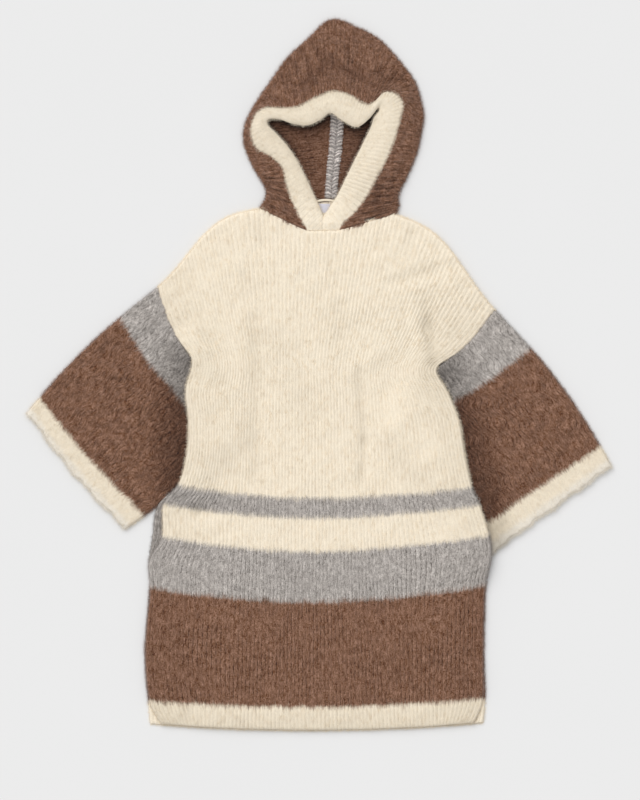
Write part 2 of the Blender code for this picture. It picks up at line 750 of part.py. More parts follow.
def clear_scene():
    for obj in list(bpy.data.objects):
        bpy.data.objects.remove(obj)


def set_on_origin(pieces):
    """Moves every point so that the middle of the garment's box is at the origin."""
    bpy.context.view_layer.update()
    corners = np.array([vertex.co for piece in pieces for vertex in piece.data.vertices])
    middle = (corners.min(axis=0) + corners.max(axis=0)) / 2.0
    for piece in pieces:
        for vertex in piece.data.vertices:
            vertex.co.x -= middle[0]
            vertex.co.y -= middle[1]


def main():
    clear_scene()
    pieces = [make_back(), make_front()]
    pieces += [make_sleeve(name) for name in SLEEVES]
    pieces += [make_hood(), make_back_seam(), make_label()]
    set_on_origin(pieces)


main()
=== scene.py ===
"""The looks of a knit hoodie laid flat: brushed rib knit, its halo of fibres, and its trims.

Places in the tables are millimetres on the surface, from a point at the middle of the hem's lowest
edge, as in the construction of the solids. Points are moved onto the frame, in metres, at the end.
"""

import math
from collections import namedtuple

import bmesh
import bpy
import numpy as np
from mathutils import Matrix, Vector
from numpy.linalg import norm


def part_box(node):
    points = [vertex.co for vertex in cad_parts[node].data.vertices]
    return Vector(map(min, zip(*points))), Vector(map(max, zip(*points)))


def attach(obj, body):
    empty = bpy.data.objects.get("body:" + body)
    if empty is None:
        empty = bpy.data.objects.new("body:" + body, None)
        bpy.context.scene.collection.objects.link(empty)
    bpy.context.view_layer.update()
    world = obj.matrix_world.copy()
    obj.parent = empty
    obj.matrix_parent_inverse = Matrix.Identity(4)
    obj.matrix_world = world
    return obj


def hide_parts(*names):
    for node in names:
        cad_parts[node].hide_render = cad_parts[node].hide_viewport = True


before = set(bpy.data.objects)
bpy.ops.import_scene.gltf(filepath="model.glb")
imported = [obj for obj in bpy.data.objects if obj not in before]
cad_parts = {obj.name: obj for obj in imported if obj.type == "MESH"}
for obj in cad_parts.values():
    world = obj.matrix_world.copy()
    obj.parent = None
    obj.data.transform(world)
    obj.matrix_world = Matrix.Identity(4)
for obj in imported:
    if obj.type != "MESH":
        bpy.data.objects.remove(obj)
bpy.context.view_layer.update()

bl_info = {
    "name": "Knit Hoodie",
    "version": (1, 0, 0),
    "blender": (4, 5, 0),
    "location": "3D View > Sidebar > Hoodie",
    "description": "Builds the cloth, fibres and trims of a knit hoodie laid flat",
    "category": "Object",
}

MM = 0.001

# -------------------- the cloth's sizes


def table(kind, *rows):
    """A table's rows, whose columns have the names of their kind."""
    return tuple(kind(*row) for row in rows)


WALL = 3.0  # thickness of the knit without its ribs
SEAM_GAP = 0.4  # between the edges of pieces that are sewn together
SEAM_TUCK = 1.0  # of one piece's edge under the next, where they are sewn together
LAYER_GAP = 0.4  # between layers that lie on each other
FOLD_HALF = 3.2  # half the thickness of a folded edge

FRONT_RIBS = 84
SLEEVE_RIBS = 36
HOOD_RIBS = 104
RIB_POINTS = 4  # columns of points to a rib
RIB_ROUNDNESS = 0.6  # the less, the fuller a rib's ridge
ROW_STEP = 5.7  # between rows of points along a rib of the body
SLEEVE_ROW_STEP = 4.6  # the same on the sleeves
EDGE_STEPS = (0.0, 0.7, 1.8, 3.4)  # rows that round off an edge
EDGE_RADIUS = 5.0  # of the front's edges and the cuffs'
BACK_EDGE_RADIUS = 4.0
SLEEVE_FOLD_RADIUS = 7.0
EDGE_SHARE = 0.12  # of the wall's thickness left at the very edge
JOINED_SHARE = 0.66  # the same where the edge is sewn to the next piece
JOINED_REACH = 4.0  # from there to where the wall has its full thickness

BodySection = namedtuple("BodySection", "left_x left_y right_x right_y dip back_left back_right")
BODY_SECTIONS = table(
    BodySection,
    (-259, 10, 258, 12, 11, 18, 15),
    (-278, 48, 273, 52, 12, 2, 3),
    (-285, 130, 273, 130, 18, 0, 0),
    (-277, 234, 276, 237, 25, 0, 0),
    (-278, 278, 285, 285, 26, 1, 0),
    (-257, 320, 282, 322, 27, 16, 0),
    (-255, 372, 267, 371, 23, 9, 0),
    (-230, 405, 254, 401, 20, 0, 0),
    (-216, 457, 242, 457, 15, 0, 0),
    (-214, 511, 233, 511, 11, 0, 0),
    (-218, 560, 215, 556, 8, 0, 0),
    (-208, 609, 196, 596, 4, 0, 0),
)
YOKE_LEVELS = (0.33, 0.67, 1.0)  # shares of the way from the last section to the top edge
# Where the body's sides would be, at its first section and at its last, if its outer ribs were as
# straight as the others. They bend to follow its outline.
STRAIGHT_LEFT = (-268.0, -222.0)
STRAIGHT_RIGHT = (268.0, 212.0)
SIDE_BEND = 0.3  # share of the panel's width that the bend dies out over
HEM_BEND, HEM_BEND_REACH = 0.17, 0.2  # the same at the hem, and up to which share of the height

# Corners of the top edge, shared by the body, the sleeves and the hood.
SHOULDER_LEFT = (-264.0, 731.0)
SHOULDER_RIGHT = (292.0, 693.0)
NECK_LEFT = (-96.0, 860.0)
NECK_FRONT_LEFT = (-16.5, 823.0)
NECK_FRONT_RIGHT = (33.0, 824.0)
NECK_RIGHT = (127.0, 851.0)
NECK_BACK = (27.0, 873.0)
PANEL_COLUMNS = 168
FRONT_TOP = (
    (0, SHOULDER_LEFT),
    (54, NECK_LEFT),
    (75, NECK_FRONT_LEFT),
    (89, NECK_FRONT_RIGHT),
    (114, NECK_RIGHT),
    (168, SHOULDER_RIGHT),
)
BACK_TOP = (
    (0, SHOULDER_LEFT),
    (54, NECK_LEFT),
    (87, NECK_BACK),
    (114, NECK_RIGHT),
    (168, SHOULDER_RIGHT),
)
SHOULDER_BULGE_LEFT = 24.0
SHOULDER_BULGE_RIGHT = 22.0
SHOULDER_BULGE_POWER = 1.61  # puts the fullest place nearer the neck
ARMHOLE_BOW = 8.0  # of the body's edge over the sleeve
ARMHOLE_BOW_REACH = 0.15  # share of the panel's width that the bow dies out over

# The front stands a little off the back, and its soft folds are troughs in that loft.
PUFF = 2.4
PUFF_REACH = 45.0  # from the sides to where the loft is full
Fold = namedtuple("Fold", "x1 y1 x2 y2 width depth")
FRONT_FOLDS = table(
    Fold,
    (-112, 571, -112, 401, 24, 1.8),
    (58, 545, 73, 421, 16, 1.6),
    (175, 676, 181, 610, 16, 1.6),
    (181, 746, 213, 761, 12, 1.4),
    (-97, 832, -92, 800, 14, 1.5),
)

SleeveShape = namedtuple(
    "SleeveShape", "shoulder seam_end underarm cuff_low cuff_high edge_bulge cuff_bow under_show"
)
SLEEVES = {
    "sleeve_left": SleeveShape(
        SHOULDER_LEFT, (-208, 609), (-158, 503), (-323, 328), (-485, 518), 10, 6, 0
    ),
    "sleeve_right": SleeveShape(
        SHOULDER_RIGHT, (196, 596), (149, 498), (286, 287), (487, 431), 13, 0, 7
    ),
}
SEAM_END_SHARE = 0.56  # of the way round the armhole, from the shoulder to the underarm
# Where the sleeve's sections lie along its upper fold and its lower fold, in shares of its length.
SLEEVE_ALONG_TOP = (0.0, 0.13, 0.26, 0.42, 0.57, 0.73, 0.87, 1.0)
SLEEVE_ALONG_BOTTOM = (0.0, 0.07, 0.14, 0.32, 0.50, 0.67, 0.82, 1.0)
SLEEVE_INNER_GAP = 0.5  # between a sleeve's two layers
SLEEVE_LENGTH = 290.0  # along the middle, from the armhole to the cuff

# The body rises over the tucked corners of the sleeves, fully up to a margin around them.
LIFT = 8.9
LIFT_MARGIN = 10.0
LIFT_REACH = 55.0  # from there to where it lies flat again
TUCKED_CORNERS = (
    ((-208, 609), (-158, 503), (-223, 421)),
    ((196, 596), (149, 498), (286, 287)),
)

# It also rises over the lower edge of the left sleeve, which bows out beside it.
BOWED_CORNER = ((-200, 470), (-223, 421), (-234, 404))

HoodSection = namedtuple(
    "HoodSection", "face_x face_y face_z band_x band_y band_z fold_x fold_y seam_y bunch"
)
HOOD_SECTIONS = table(
    HoodSection,
    (7.9, 823.5, 8.0, -16.5, 823, 7.6, -96, 860, 873, 1.5),
    (7.9, 843, 8.6, -28, 843, 8.8, -89, 870, 881, 1.7),
    (4, 860, 9.2, -36, 858, 10, -85, 879, 891, 1.8),
    (-5, 879, 10, -45, 878, 11, -84, 891, 903, 1.8),
    (-18, 907.5, 11, -53, 903, 12.5, -89, 903, 917, 1.6),
    (-33, 937, 12, -58, 927, 13, -101, 921, 937, 1.2),
    (-49.5, 962, 13, -76, 945, 13, -112, 942, 959, 1.0),
    (-68, 983, 14, -101, 959, 12, -120, 965, 980, 1.0),
    (-82.5, 998, 16, -111, 985, 11.5, -122, 987, 1003, 1.0),
    (-81, 1007, 18, -105, 1012, 12, -115, 1011, 1026, 1.0),
    (-64, 1007, 20, -89, 1025.5, 16, -101, 1036, 1048, 1.0),
    (-43, 1000, 22, -63, 1026, 20, -79, 1068, 1072.5, 1.0),
    (-16.5, 997, 24, -35, 1027, 22, -51, 1107, 1100.5, 1.0),
    (5, 1006.5, 25, -3, 1043, 24, -18, 1138.5, 1129, 1.0),
    (20.6, 1017, 26, 26, 1053, 25, 21.5, 1171.5, 1152, 1.0),
    (39.6, 1005, 25, 53, 1046, 24, 61, 1160, 1129, 1.0),
    (63, 994, 23, 77.5, 1032, 22, 99, 1140, 1100.5, 1.0),
    (82.5, 1006, 21, 91, 1035, 20, 132, 1105.5, 1072.5, 1.0),
    (99, 1025.5, 18, 109, 1051, 21, 157, 1072.5, 1048, 1.0),
    (100, 1020, 16, 129, 1048.5, 21, 168, 1041, 1026, 1.0),
    (92, 1010, 15, 140, 1030, 18, 173, 1013, 1003, 1.0),
    (86, 992, 14, 132, 995, 16, 169, 985, 980, 1.0),
    (69, 957, 13, 120, 957, 14, 162, 954, 959, 1.1),
    (51, 921, 12, 102, 921, 13, 148.5, 921, 932, 1.4),
    (33, 884, 10.5, 79, 879, 10, 131, 884, 907.5, 1.7),
    (18, 861, 9.4, 59, 853, 9, 132, 868, 889, 1.7),
    (8.9, 843, 8.6, 44.5, 840, 8.4, 130, 860, 881, 1.6),
    (8.9, 823.5, 8.0, 33, 824, 7.6, 127, 851, 873, 1.5),
)
HOOD_CROWN = 14  # the section at the crown
HOOD_SEAM_SLIT = 0.4  # half the slit that the back seam closes
HOOD_INSET = WALL + 1.2  # of the inner face's fold from the outer one
HOOD_ROUND = 2.0  # how far further in the inner face is level again
HOOD_INNER_DROP = WALL - 0.2  # of the inner face below the outer one, beside the fold
HOOD_SAMPLES = 40  # to a section, for the length round the hood
HOOD_STEP = 0.05  # of a section, to each side of a place, for the way its outline runs
BAND_WIDTH = 33.0  # of the cream band, for the yarn's change
HOOD_DEPTH = 300.0  # the most that a rib is long, for the yarn's change
BAND_PUFF = 2.6  # how far the band stands up between its edges
FOLD_ANGLES = (90, 60, 30, 0, -30, -60, -90)  # of the rows round the hood's fold, from the top
FACE_ANGLES = (-90, -45, 0, 45)  # of the rows round the face edge, from below

SeamPoint = namedtuple("SeamPoint", "y x half_width")
SEAM_LINE = table(
    SeamPoint,
    (873, 27, 5.0),
    (889, 28, 9.0),
    (932, 24, 11.5),
    (976, 27, 11.5),
    (1010, 30.5, 11.5),
    (1072, 30, 11.5),
    (1152, 25, 8.0),
)
RIDGE_START, RIDGE_END = 877.0, 1100.0  # heights between which the seam's strands lie

LABEL_LEFT, LABEL_RIGHT = 0.5, 20.0
LABEL_LOW, LABEL_HIGH = 853.0, 868.5

# -------------------- the yarns

Yarn = namedtuple("Yarn", "colour heather")  # base colour, and how mottled it is
Band = namedtuple("Band", "start yarn")  # where along the piece a yarn begins

# -------------------- the photo's frame

PHOTO_WIDTH, PHOTO_HEIGHT = 640, 800
MM_PER_PIXEL = 1.65
MIDDLE_PIXEL = 318  # column of the hem's middle
HEM_PIXEL = 730  # row of the hem's lowest edge

LABEL_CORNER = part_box("neck_label")[0]
ORIGIN = np.array([LABEL_LEFT - LABEL_CORNER.x / MM, LABEL_LOW - LABEL_CORNER.y / MM, 0.0])

# Grids over a face: its places, then rib and length, then yarn and shade.
Surface = namedtuple("Surface", "points knit yarn")


# -------------------- numbers

WAVES_EACH = 3  # waves of each length in the surface's unevenness
DRIFT_WAVES = (1.0, 0.43, 2.3)  # lengths of the waves in a valley's wander, against its own


def lerp(low, high, share):
    return low + (high - low) * share


def smooth(share):
    share = np.clip(share, 0.0, 1.0)
    return share * share * (3.0 - 2.0 * share)


def through(values, places):
    """A smooth curve through the values, read at these places counted in values."""
    values = np.asarray(values, float)
    places = np.asarray(places, float)
    last = len(values) - 1
    start = np.clip(places.astype(int), 0, last - 1)
    share = (places - start).reshape((-1,) + (1,) * (values.ndim - 1))
    low, high = values[start], values[start + 1]
    slope_low = (high - values[np.maximum(start - 1, 0)]) / 2.0
    slope_high = (values[np.minimum(start + 2, last)] - low) / 2.0
    square, cube = share**2, share**3
    return (
        (2 * cube - 3 * square + 1) * low
        + (cube - 2 * square + share) * slope_low
        + (3 * square - 2 * cube) * high
        + (cube - square) * slope_high
    )


def unit(vectors):
    return vectors / np.maximum(norm(vectors, axis=-1, keepdims=True), 1e-9)


def square_to(start, end):
    """The level way square to a line, on its left."""
    run = np.subtract(end, start)
    return np.array([-run[1], run[0]]) / norm(run)


def lengths_along(points):
    """The length of a line up to each of its points."""
    return np.concatenate([[0.0], np.cumsum(norm(np.diff(points, axis=0), axis=1))])


def ripples(flat, lengths, seed):
    """Soft unevenness over the surface, mostly between -1 and 1, with waves of these lengths."""
    rng = np.random.default_rng(seed)
    total = np.zeros(flat.shape[:-1])
    for length in lengths:
        for _ in range(WAVES_EACH):
            angle, phase = rng.uniform(0.0, 2.0 * math.pi, 2)
            way = np.array([math.cos(angle), math.sin(angle)])
            total += np.sin(2.0 * math.pi * (flat @ way) / length + phase)
    return total / math.sqrt(WAVES_EACH * len(lengths))


def rib_drift(ribs, along, length, seed):
    """Wander of each valley along its length, between -1 and 1, carried over to places between."""
    rng = np.random.default_rng(seed)
    count = int(np.max(ribs)) + 2
    phases = rng.uniform(0.0, 2.0 * math.pi, (len(DRIFT_WAVES), count))
    waves = length * np.array(DRIFT_WAVES)[:, None, None]
    drift = np.sin(2.0 * math.pi * along[None, :, None] / waves + phases[:, None, :]).mean(axis=0)
    low = np.floor(ribs).astype(int)
    return lerp(drift[:, low], drift[:, np.minimum(low + 1, count - 1)], ribs - low)


def rib_profile(ribs):
    """Height of a rib's rounded ridge, from nought in the valleys at whole numbers."""
    return np.abs(np.sin(math.pi * ribs)) ** RIB_ROUNDNESS


def edge_share(away, radius=EDGE_RADIUS):
    """Share of the wall's thickness at a distance from a rounded edge."""
    inside = np.clip(1.0 - away / radius, 0.0, 1.0)
    return lerp(EDGE_SHARE, 1.0, np.sqrt(1.0 - inside**2))


def edged_steps(length, step):
    """Distances along a piece: close together at both ends, where its edges are rounded."""
    inner = length - 2 * EDGE_STEPS[-1]
    middle = np.linspace(0.0, inner, int(inner / step) + 1) + EDGE_STEPS[-1]
    ends = np.array(EDGE_STEPS[:-1])
    return np.concatenate([ends, middle, length - ends[::-1]])


def distance_to_segment(flat, start, end):
    start = np.asarray(start, float)
    run = np.asarray(end, float) - start
    share = np.clip(((flat - start) @ run) / (run @ run), 0.0, 1.0)
    return norm(flat - start - share[..., None] * run, axis=-1)


def distance_outside(flat, corners):
    """How far each place lies outside a triangle, and nought inside it."""
    corners = [np.asarray(corner, float) for corner in corners]
    nearest = np.full(flat.shape[:-1], np.inf)
    turns = []
    for start, end in zip(corners, corners[1:] + corners[:1]):
        nearest = np.minimum(nearest, distance_to_segment(flat, start, end))
        run = end - start
        turns.append(run[0] * (flat[..., 1] - start[1]) - run[1] * (flat[..., 0] - start[0]))
    turns = np.array(turns)
    inside = (turns >= 0).all(axis=0) | (turns <= 0).all(axis=0)
    return np.where(inside, 0.0, nearest)


def lift(flat):
    """How far the body rises over the tucked corners of the sleeves."""
    rise = np.zeros(flat.shape[:-1])
    for corners in (*TUCKED_CORNERS, BOWED_CORNER):
        away = distance_outside(flat, corners) - LIFT_MARGIN
        rise = np.maximum(rise, LIFT * (1.0 - smooth(away / LIFT_REACH)))
    return rise


# -------------------- meshes

# Length and width in millimetres; the rest are angles in degrees: how far the fibres' headings
# spread, how far they rise off the cloth, how far they curl, and how far patches of them turn.
FuzzStyle = namedtuple("FuzzStyle", "length spread rise width curl swirl")
FIBRE_POINTS = 5
FIBRE_LENGTHS = (0.45, 1.4)  # shortest and longest, against the style's
FIBRE_WIDTHS = (0.5, 1.3)
FIBRE_TAPER = 0.8  # width at its middle, against its root's
FIBRE_ROLL = 0.6  # radians that it is turned by about its own length
FIBRE_DROOP = (-0.9, 0.6)  # rise of its outer half, against its inner half's
UPRIGHT = (0.0, 0.0, 1.0)
LOCK_SPREAD = 9.0  # degrees between the fibres of a lock
LOCK_GATHER = 0.9  # how far their roots stray from each other
FLOOR_GAP = 0.2  # between the lowest fibres and the floor
SWIRL_LENGTHS = (26.0, 58.0)
SWIRL_SEED = 7


def on_frame(points):
    return (points - ORIGIN) * MM


def strip(first, second):
    """Faces between two rows of vertices that may differ in number."""
    i = j = 0
    faces = []
    while i < len(first) - 1 or j < len(second) - 1:
        if j == len(second) - 1 or (i + 1) * (len(second) - 1) <= (j + 1) * (len(first) - 1):
            faces.append((first[i], first[i + 1], second[j]))
            i += 1
        else:
            faces.append((first[i], second[j + 1], second[j]))
            j += 1
    return faces


def new_piece(name, points, faces, maps, material):
    """An object with these points in millimetres, and a UV map for each of the maps."""
    mesh = bpy.data.meshes.new(name)
    mesh.from_pydata(on_frame(points).tolist(), [], faces)
    corners = np.zeros(len(mesh.loops), np.int32)
    mesh.loops.foreach_get("vertex_index", corners)
    for map_name, values in maps.items():
        layer = mesh.uv_layers.new(name=map_name)
        layer.uv.foreach_set("vector", values[corners].astype(np.float32).ravel())
    mesh.shade_smooth()
    mesh.materials.append(material)
    mesh.validate()
    piece = bpy.data.objects.new(name, mesh)
    bpy.context.scene.collection.objects.link(piece)
    return piece


def face_outward(piece):
    mesh = bmesh.new()
    mesh.from_mesh(piece.data)
    bmesh.ops.recalc_face_normals(mesh, faces=mesh.faces)
    mesh.to_mesh(piece.data)
    mesh.free()


def closed_cloth(name, points, knit, yarn, split, material, ring=False):
    """A closed wall through loops of points: the first split points of a loop are its outer face.

    A ring also joins the last loop to the first. Otherwise both ends are closed.
    """
    loops, count = points.shape[:2]
    ids = np.arange(loops * count).reshape(loops, count)
    following = np.roll(ids, -1, axis=0)
    around = np.roll(ids, -1, axis=1)
    both = np.roll(following, -1, axis=1)
    last = loops if ring else loops - 1
    quads = np.stack([ids, around, both, following], axis=-1)[:last].reshape(-1, 4)
    faces = quads.tolist()
    if not ring:
        for row in (ids[0], ids[-1]):
            ends = strip(row[:split], row[: split - 1 : -1])
            faces += [tuple(int(i) for i in face) for face in ends]
    maps = {"knit": knit.reshape(-1, 2), "yarn": yarn.reshape(-1, 2)}
    piece = new_piece(name, points.reshape(-1, 3), faces, maps, material)
    face_outward(piece)
    return piece


def surface_normals(points):
    along = np.gradient(points, axis=0)
    across = np.gradient(points, axis=1)
    normals = unit(np.cross(across, along))
    return normals if normals[..., 2].sum() > 0 else -normals


def scatter(surface, count, rng, lock):
    """Random spots on a face, evenly over its area, in locks of fibres that share their root."""
    points = surface.points
    normals = surface_normals(points)
    first = points[1:, :-1] - points[:-1, :-1]
    second = points[:-1, 1:] - points[:-1, :-1]
    areas = norm(np.cross(first, second), axis=-1)
    locks = count // lock
    cells = rng.choice(areas.size, locks, p=(areas / areas.sum()).ravel())
    row, column = np.unravel_index(cells, areas.shape)
    down, over = rng.random(locks)[:, None], rng.random(locks)[:, None]

    def spot(grid):
        low = lerp(grid[row, column], grid[row, column + 1], over)
        high = lerp(grid[row + 1, column], grid[row + 1, column + 1], over)
        return lerp(low, high, down)

    spots = {
        "roots": spot(points),
        "normals": unit(spot(normals)),
        "ways": unit(first[row, column]),
        "knit": spot(surface.knit),
        "yarn": spot(surface.yarn),
        "lock": np.arange(locks),
    }
    spots = {name: np.repeat(values, lock, axis=0) for name, values in spots.items()}
    strays = rng.normal(0.0, LOCK_GATHER, spots["roots"].shape)
    above = (strays * spots["normals"]).sum(axis=1, keepdims=True)
    spots["roots"] += strays - above * spots["normals"]
    return spots


def ribbons(spots, style, rng, both_ways):
    """Points of fine fibres that rise from these spots and bend over, and their faces."""
    roots, normals, ways = spots["roots"], spots["normals"], spots["ways"]
    count = len(roots)
    across = np.cross(normals, ways)
    lock = spots["lock"]
    turn = rng.normal(0.0, math.radians(style.spread), lock[-1] + 1)[lock]
    turn += rng.normal(0.0, math.radians(LOCK_SPREAD), count)
    turn += math.radians(style.swirl) * ripples(roots[:, :2], SWIRL_LENGTHS, SWIRL_SEED)
    if both_ways:
        turn += math.pi * rng.integers(0, 2, lock[-1] + 1)[lock]
    curl = rng.normal(0.0, math.radians(style.curl), count)
    rise = np.abs(rng.normal(math.radians(style.rise), math.radians(style.rise) / 2, count))
    length = style.length * rng.uniform(*FIBRE_LENGTHS, count)[:, None]
    width = style.width * rng.uniform(*FIBRE_WIDTHS, count)[:, None]
    roll = rng.normal(0.0, FIBRE_ROLL, count)[:, None]

    def heading(angle, pitch):
        flat = np.cos(angle)[:, None] * ways + np.sin(angle)[:, None] * across
        return flat * np.cos(pitch)[:, None] + normals * np.sin(pitch)[:, None]

    first = heading(turn, rise)
    second = heading(turn + curl, rise * rng.uniform(*FIBRE_DROOP, count))
    middles = roots + first * length / 2
    tips = middles + second * length / 2
    side = unit(np.cross(first, normals)) * np.cos(roll) + normals * np.sin(roll)
    side = side * width / 2
    inner = side * FIBRE_TAPER
    points = np.stack([roots - side, roots + side, middles + inner, middles - inner, tips], axis=1)
    points[..., 2] = np.maximum(points[..., 2], FLOOR_GAP)
    start = np.arange(count)[:, None] * FIBRE_POINTS
    return points.reshape(-1, 3), start + np.array([0, 1, 2, 3]), start + np.array([3, 2, 4])


def fuzz(name, batches, material, seed):
    """One piece of fibres from batches of spots, each with its style."""
    rng = np.random.default_rng(seed)
    points, faces, knit, yarn, start = [], [], [], [], 0
    for spots, style, both_ways in batches:
        new_points, quads, tips = ribbons(spots, style, rng, both_ways)
        points.append(new_points)
        faces += (quads + start).tolist() + (tips + start).tolist()
        knit.append(np.repeat(spots["knit"], FIBRE_POINTS, axis=0))
        yarn.append(np.repeat(spots["yarn"], FIBRE_POINTS, axis=0))
        start += len(new_points)
    maps = {"knit": np.concatenate(knit), "yarn": np.concatenate(yarn)}
    return new_piece(name, np.concatenate(points), faces, maps, material)


def edge_spots(edge, outward, count, rng):
    """Random spots along an edge, whose fibres head outward."""
    points, knit, yarn = edge
    length = lengths_along(points)
    at = rng.uniform(0.0, length[-1], count)

    def spot(values):
        return np.column_stack([np.interp(at, length, column) for column in values.T])

    return {
        "roots": spot(points),
        "normals": np.tile(UPRIGHT, (count, 1)),
        "ways": unit(spot(outward)),
        "knit": spot(knit),
        "yarn": spot(yarn),
        "lock": np.arange(count),
    }


def outward_from(points, middle):
    """Level ways out from an edge, square to it and away from the middle."""
    run = np.gradient(points, axis=0)
    out = unit(np.column_stack([run[:, 1], -run[:, 0], np.zeros(len(run))]))
    return out * np.sign(((points - middle) * out).sum(axis=1, keepdims=True))


# -------------------- materials

NUMBER = "NodeSocketFloat"
COLOUR = "NodeSocketColor"
PLACE = (("Rib", NUMBER, 0.0), ("Along", NUMBER, 0.0))

# Roughness and sheen of each finish.
KNIT_FINISH = (0.95, 0.25)
FIBRE_FINISH = (0.9, 0.2)
LABEL_FINISH = (0.6, 0.1)
FLOOR_FINISH = (0.9, 0.0)
SHEEN_ROUGHNESS = 0.6
SPECULAR = 0.15

STITCH = 0.004  # metres of a rib to a stitch
STITCH_SLANT = 1.5  # stitches that its legs lean by from the ridge to the valley
VALLEY_START = 0.34  # how far off a rib's middle the shadow line begins, in ribs
DASHES = 0.6  # dashes of a shadow line to a stitch
DASH_EDGE = (0.38, 0.62)  # of the noise, from none of a dash to all of it
DASH_GAP = 0.2  # what is left of the line between dashes
CLEAR_RIBS, CLEAR_LENGTH = 0.11, 0.07  # patches without lines: how many to a rib, and how long
CLEAR_EDGE = (0.36, 0.6)
CLEAR_LEFT = 0.1  # what is left of the lines in them

HAIR_RIBS, HAIR_LENGTH = 2.6, 0.016  # hairs to a rib where yarns change, and their length
SWAY_RIBS, SWAY_LENGTH, SWAY = 0.3, 0.05, 0.5  # the same for longer waves, and their strength
FEATHER_MIDDLE = 0.75  # of the hairs and the waves together

RIB_WIDTH = 6.6  # of a rib, for patterns that spread over several ribs
SWIRL_SIZE = 24.0  # of the patches in which brushed locks lie one way
SWIRL_SHIFTS = (17.0, 71.0)  # between the noises that bend the locks across and along
SWIRL, SLEEVE_SWIRL, HOOD_SWIRL = 6.0, 8.0, 10.0  # millimetres that they are bent by
# Sizes across and along of what mottles a yarn, and how strongly each does.
PATCH_SIZE, PATCH_STRENGTH = (8.0, 13.0), 1.5
LOCK_SIZE, LOCK_STRENGTH = (1.9, 6.5), 2.4
SPECK_SIZE, SPECK_STRENGTH = (1.6, 2.2), 2.6
SPECK_NAP = 0.4  # relief of the specks, against the locks'
LEAST_FACTOR = 0.15  # of a yarn's colour, in its darkest places
TONE_MIDDLE, TONE_SWING = 0.4, 2.2  # of the fibres' own lightness
GREYING = 0.11  # of the palest fibres, which are less brown than the rest
DARKEST = (0.012, 0.006, 0.004)

SHADE = 0.85  # how much darker the cloth is where it is shaded most
SHADE_RICHNESS = 0.45  # how much richer a colour grows in full shade
SHADE_LOSS = 0.88  # of its light there
CREAM_VALLEY, DARK_VALLEY = 0.12, 1.25  # painted shade in the valleys, by how mottled a yarn is
CREAM_NAP, DARK_NAP = 0.3, 1.9  # strength of the brushed locks' relief, in the same way
STITCH_RELIEF = 0.5  # of the stitches, against the locks
KNIT_BUMP = {"Strength": 0.8, "Distance": 0.001}
SMOOTH_HEATHER = 0.07  # how mottled the cream yarn and the cuffs' ends are
GREY_HEATHER = 0.40
BROWN_HEATHER = 0.45

# How one yarn gives way to the next: half the blend between them, and its uneven reach.
YarnChange = namedtuple("YarnChange", "blur feather")
STRIPE_CHANGE = YarnChange(3.8, 11.0)
FACE_CHANGE = YarnChange(1.8, 4.5)  # at the hood's face band


class Graph:
    """A node tree, with short ways to add to it."""

    def __init__(self, tree):
        self.tree = tree

    def feed(self, socket, value):
        if isinstance(value, bpy.types.NodeSocket):
            self.tree.links.new(value, socket)
        else:
            socket.default_value = value

    def add(self, kind, *values, named=None, **settings):
        node = self.tree.nodes.new(kind)
        for name, value in settings.items():
            setattr(node, name, value)
        for socket, value in zip(node.inputs, values):
            self.feed(socket, value)
        for name, value in (named or {}).items():
            self.feed(node.inputs[name], value)
        return node

    def maths(self, operation, *values):
        return self.add("ShaderNodeMath", *values, operation=operation).outputs[0]

    def times(self, first, second):
        return self.maths("MULTIPLY", first, second)

    def plus(self, first, second):
        return self.maths("ADD", first, second)

    def times_plus(self, first, second, third):
        return self.maths("MULTIPLY_ADD", first, second, third)

    def between(self, value, low, high, to_low=0.0, to_high=1.0):
        """The value's place between low and high, eased at both ends."""
        ranges = (value, low, high, to_low, to_high)
        node = self.add("ShaderNodeMapRange", *ranges, interpolation_type="SMOOTHSTEP")
        return node.outputs[0]

    def noise(self, x, y, detail=1.0):
        """Soft noise on a plane, one lump to a unit."""
        place = self.add("ShaderNodeCombineXYZ", x, y, 0.0).outputs[0]
        node = self.add(
            "ShaderNodeTexNoise",
            named={"Vector": place, "Scale": 1.0, "Detail": detail, "Roughness": 0.6},
            noise_dimensions="2D",
        )
        return node.outputs[0]

    def scaled(self, colour, factor):
        """The colour, lighter or darker by a factor."""
        if not isinstance(colour, bpy.types.NodeSocket):
            colour = colour[:3]
        named = {0: colour, "Scale": factor}
        return self.add("ShaderNodeVectorMath", operation="SCALE", named=named).outputs[0]

    def shaded(self, colour, share):
        """The colour in shade, where light goes from fibre to fibre and so grows richer."""
        richness = self.times_plus(share, SHADE_RICHNESS, 1.0)
        deep = self.add("ShaderNodeGamma", colour, richness).outputs[0]
        return self.scaled(deep, self.times_plus(share, -SHADE_LOSS, 1.0))

    def toned(self, colour, factor):
        """The colour by a factor, greyer where that makes it paler, and richer where darker."""
        greyed = self.scaled((GREYING, GREYING, GREYING), self.maths("SUBTRACT", factor, 1.0))
        toned = self.scaled(colour, factor)
        for operation, other in (("ADD", greyed), ("MAXIMUM", DARKEST)):
            node = self.add("ShaderNodeVectorMath", toned, other, operation=operation)
            toned = node.outputs[0]
        return toned


def new_group(name, inputs, outputs):
    """An empty node group and its graph, input sockets and output node."""
    tree = bpy.data.node_groups.new(name, "ShaderNodeTree")
    for socket_name, kind, value in inputs:
        socket = tree.interface.new_socket(socket_name, in_out="INPUT", socket_type=kind)
        socket.default_value = value
    for socket_name, kind in outputs:
        tree.interface.new_socket(socket_name, in_out="OUTPUT", socket_type=kind)
    graph = Graph(tree)
    return graph, graph.add("NodeGroupInput").outputs, graph.add("NodeGroupOutput").inputs


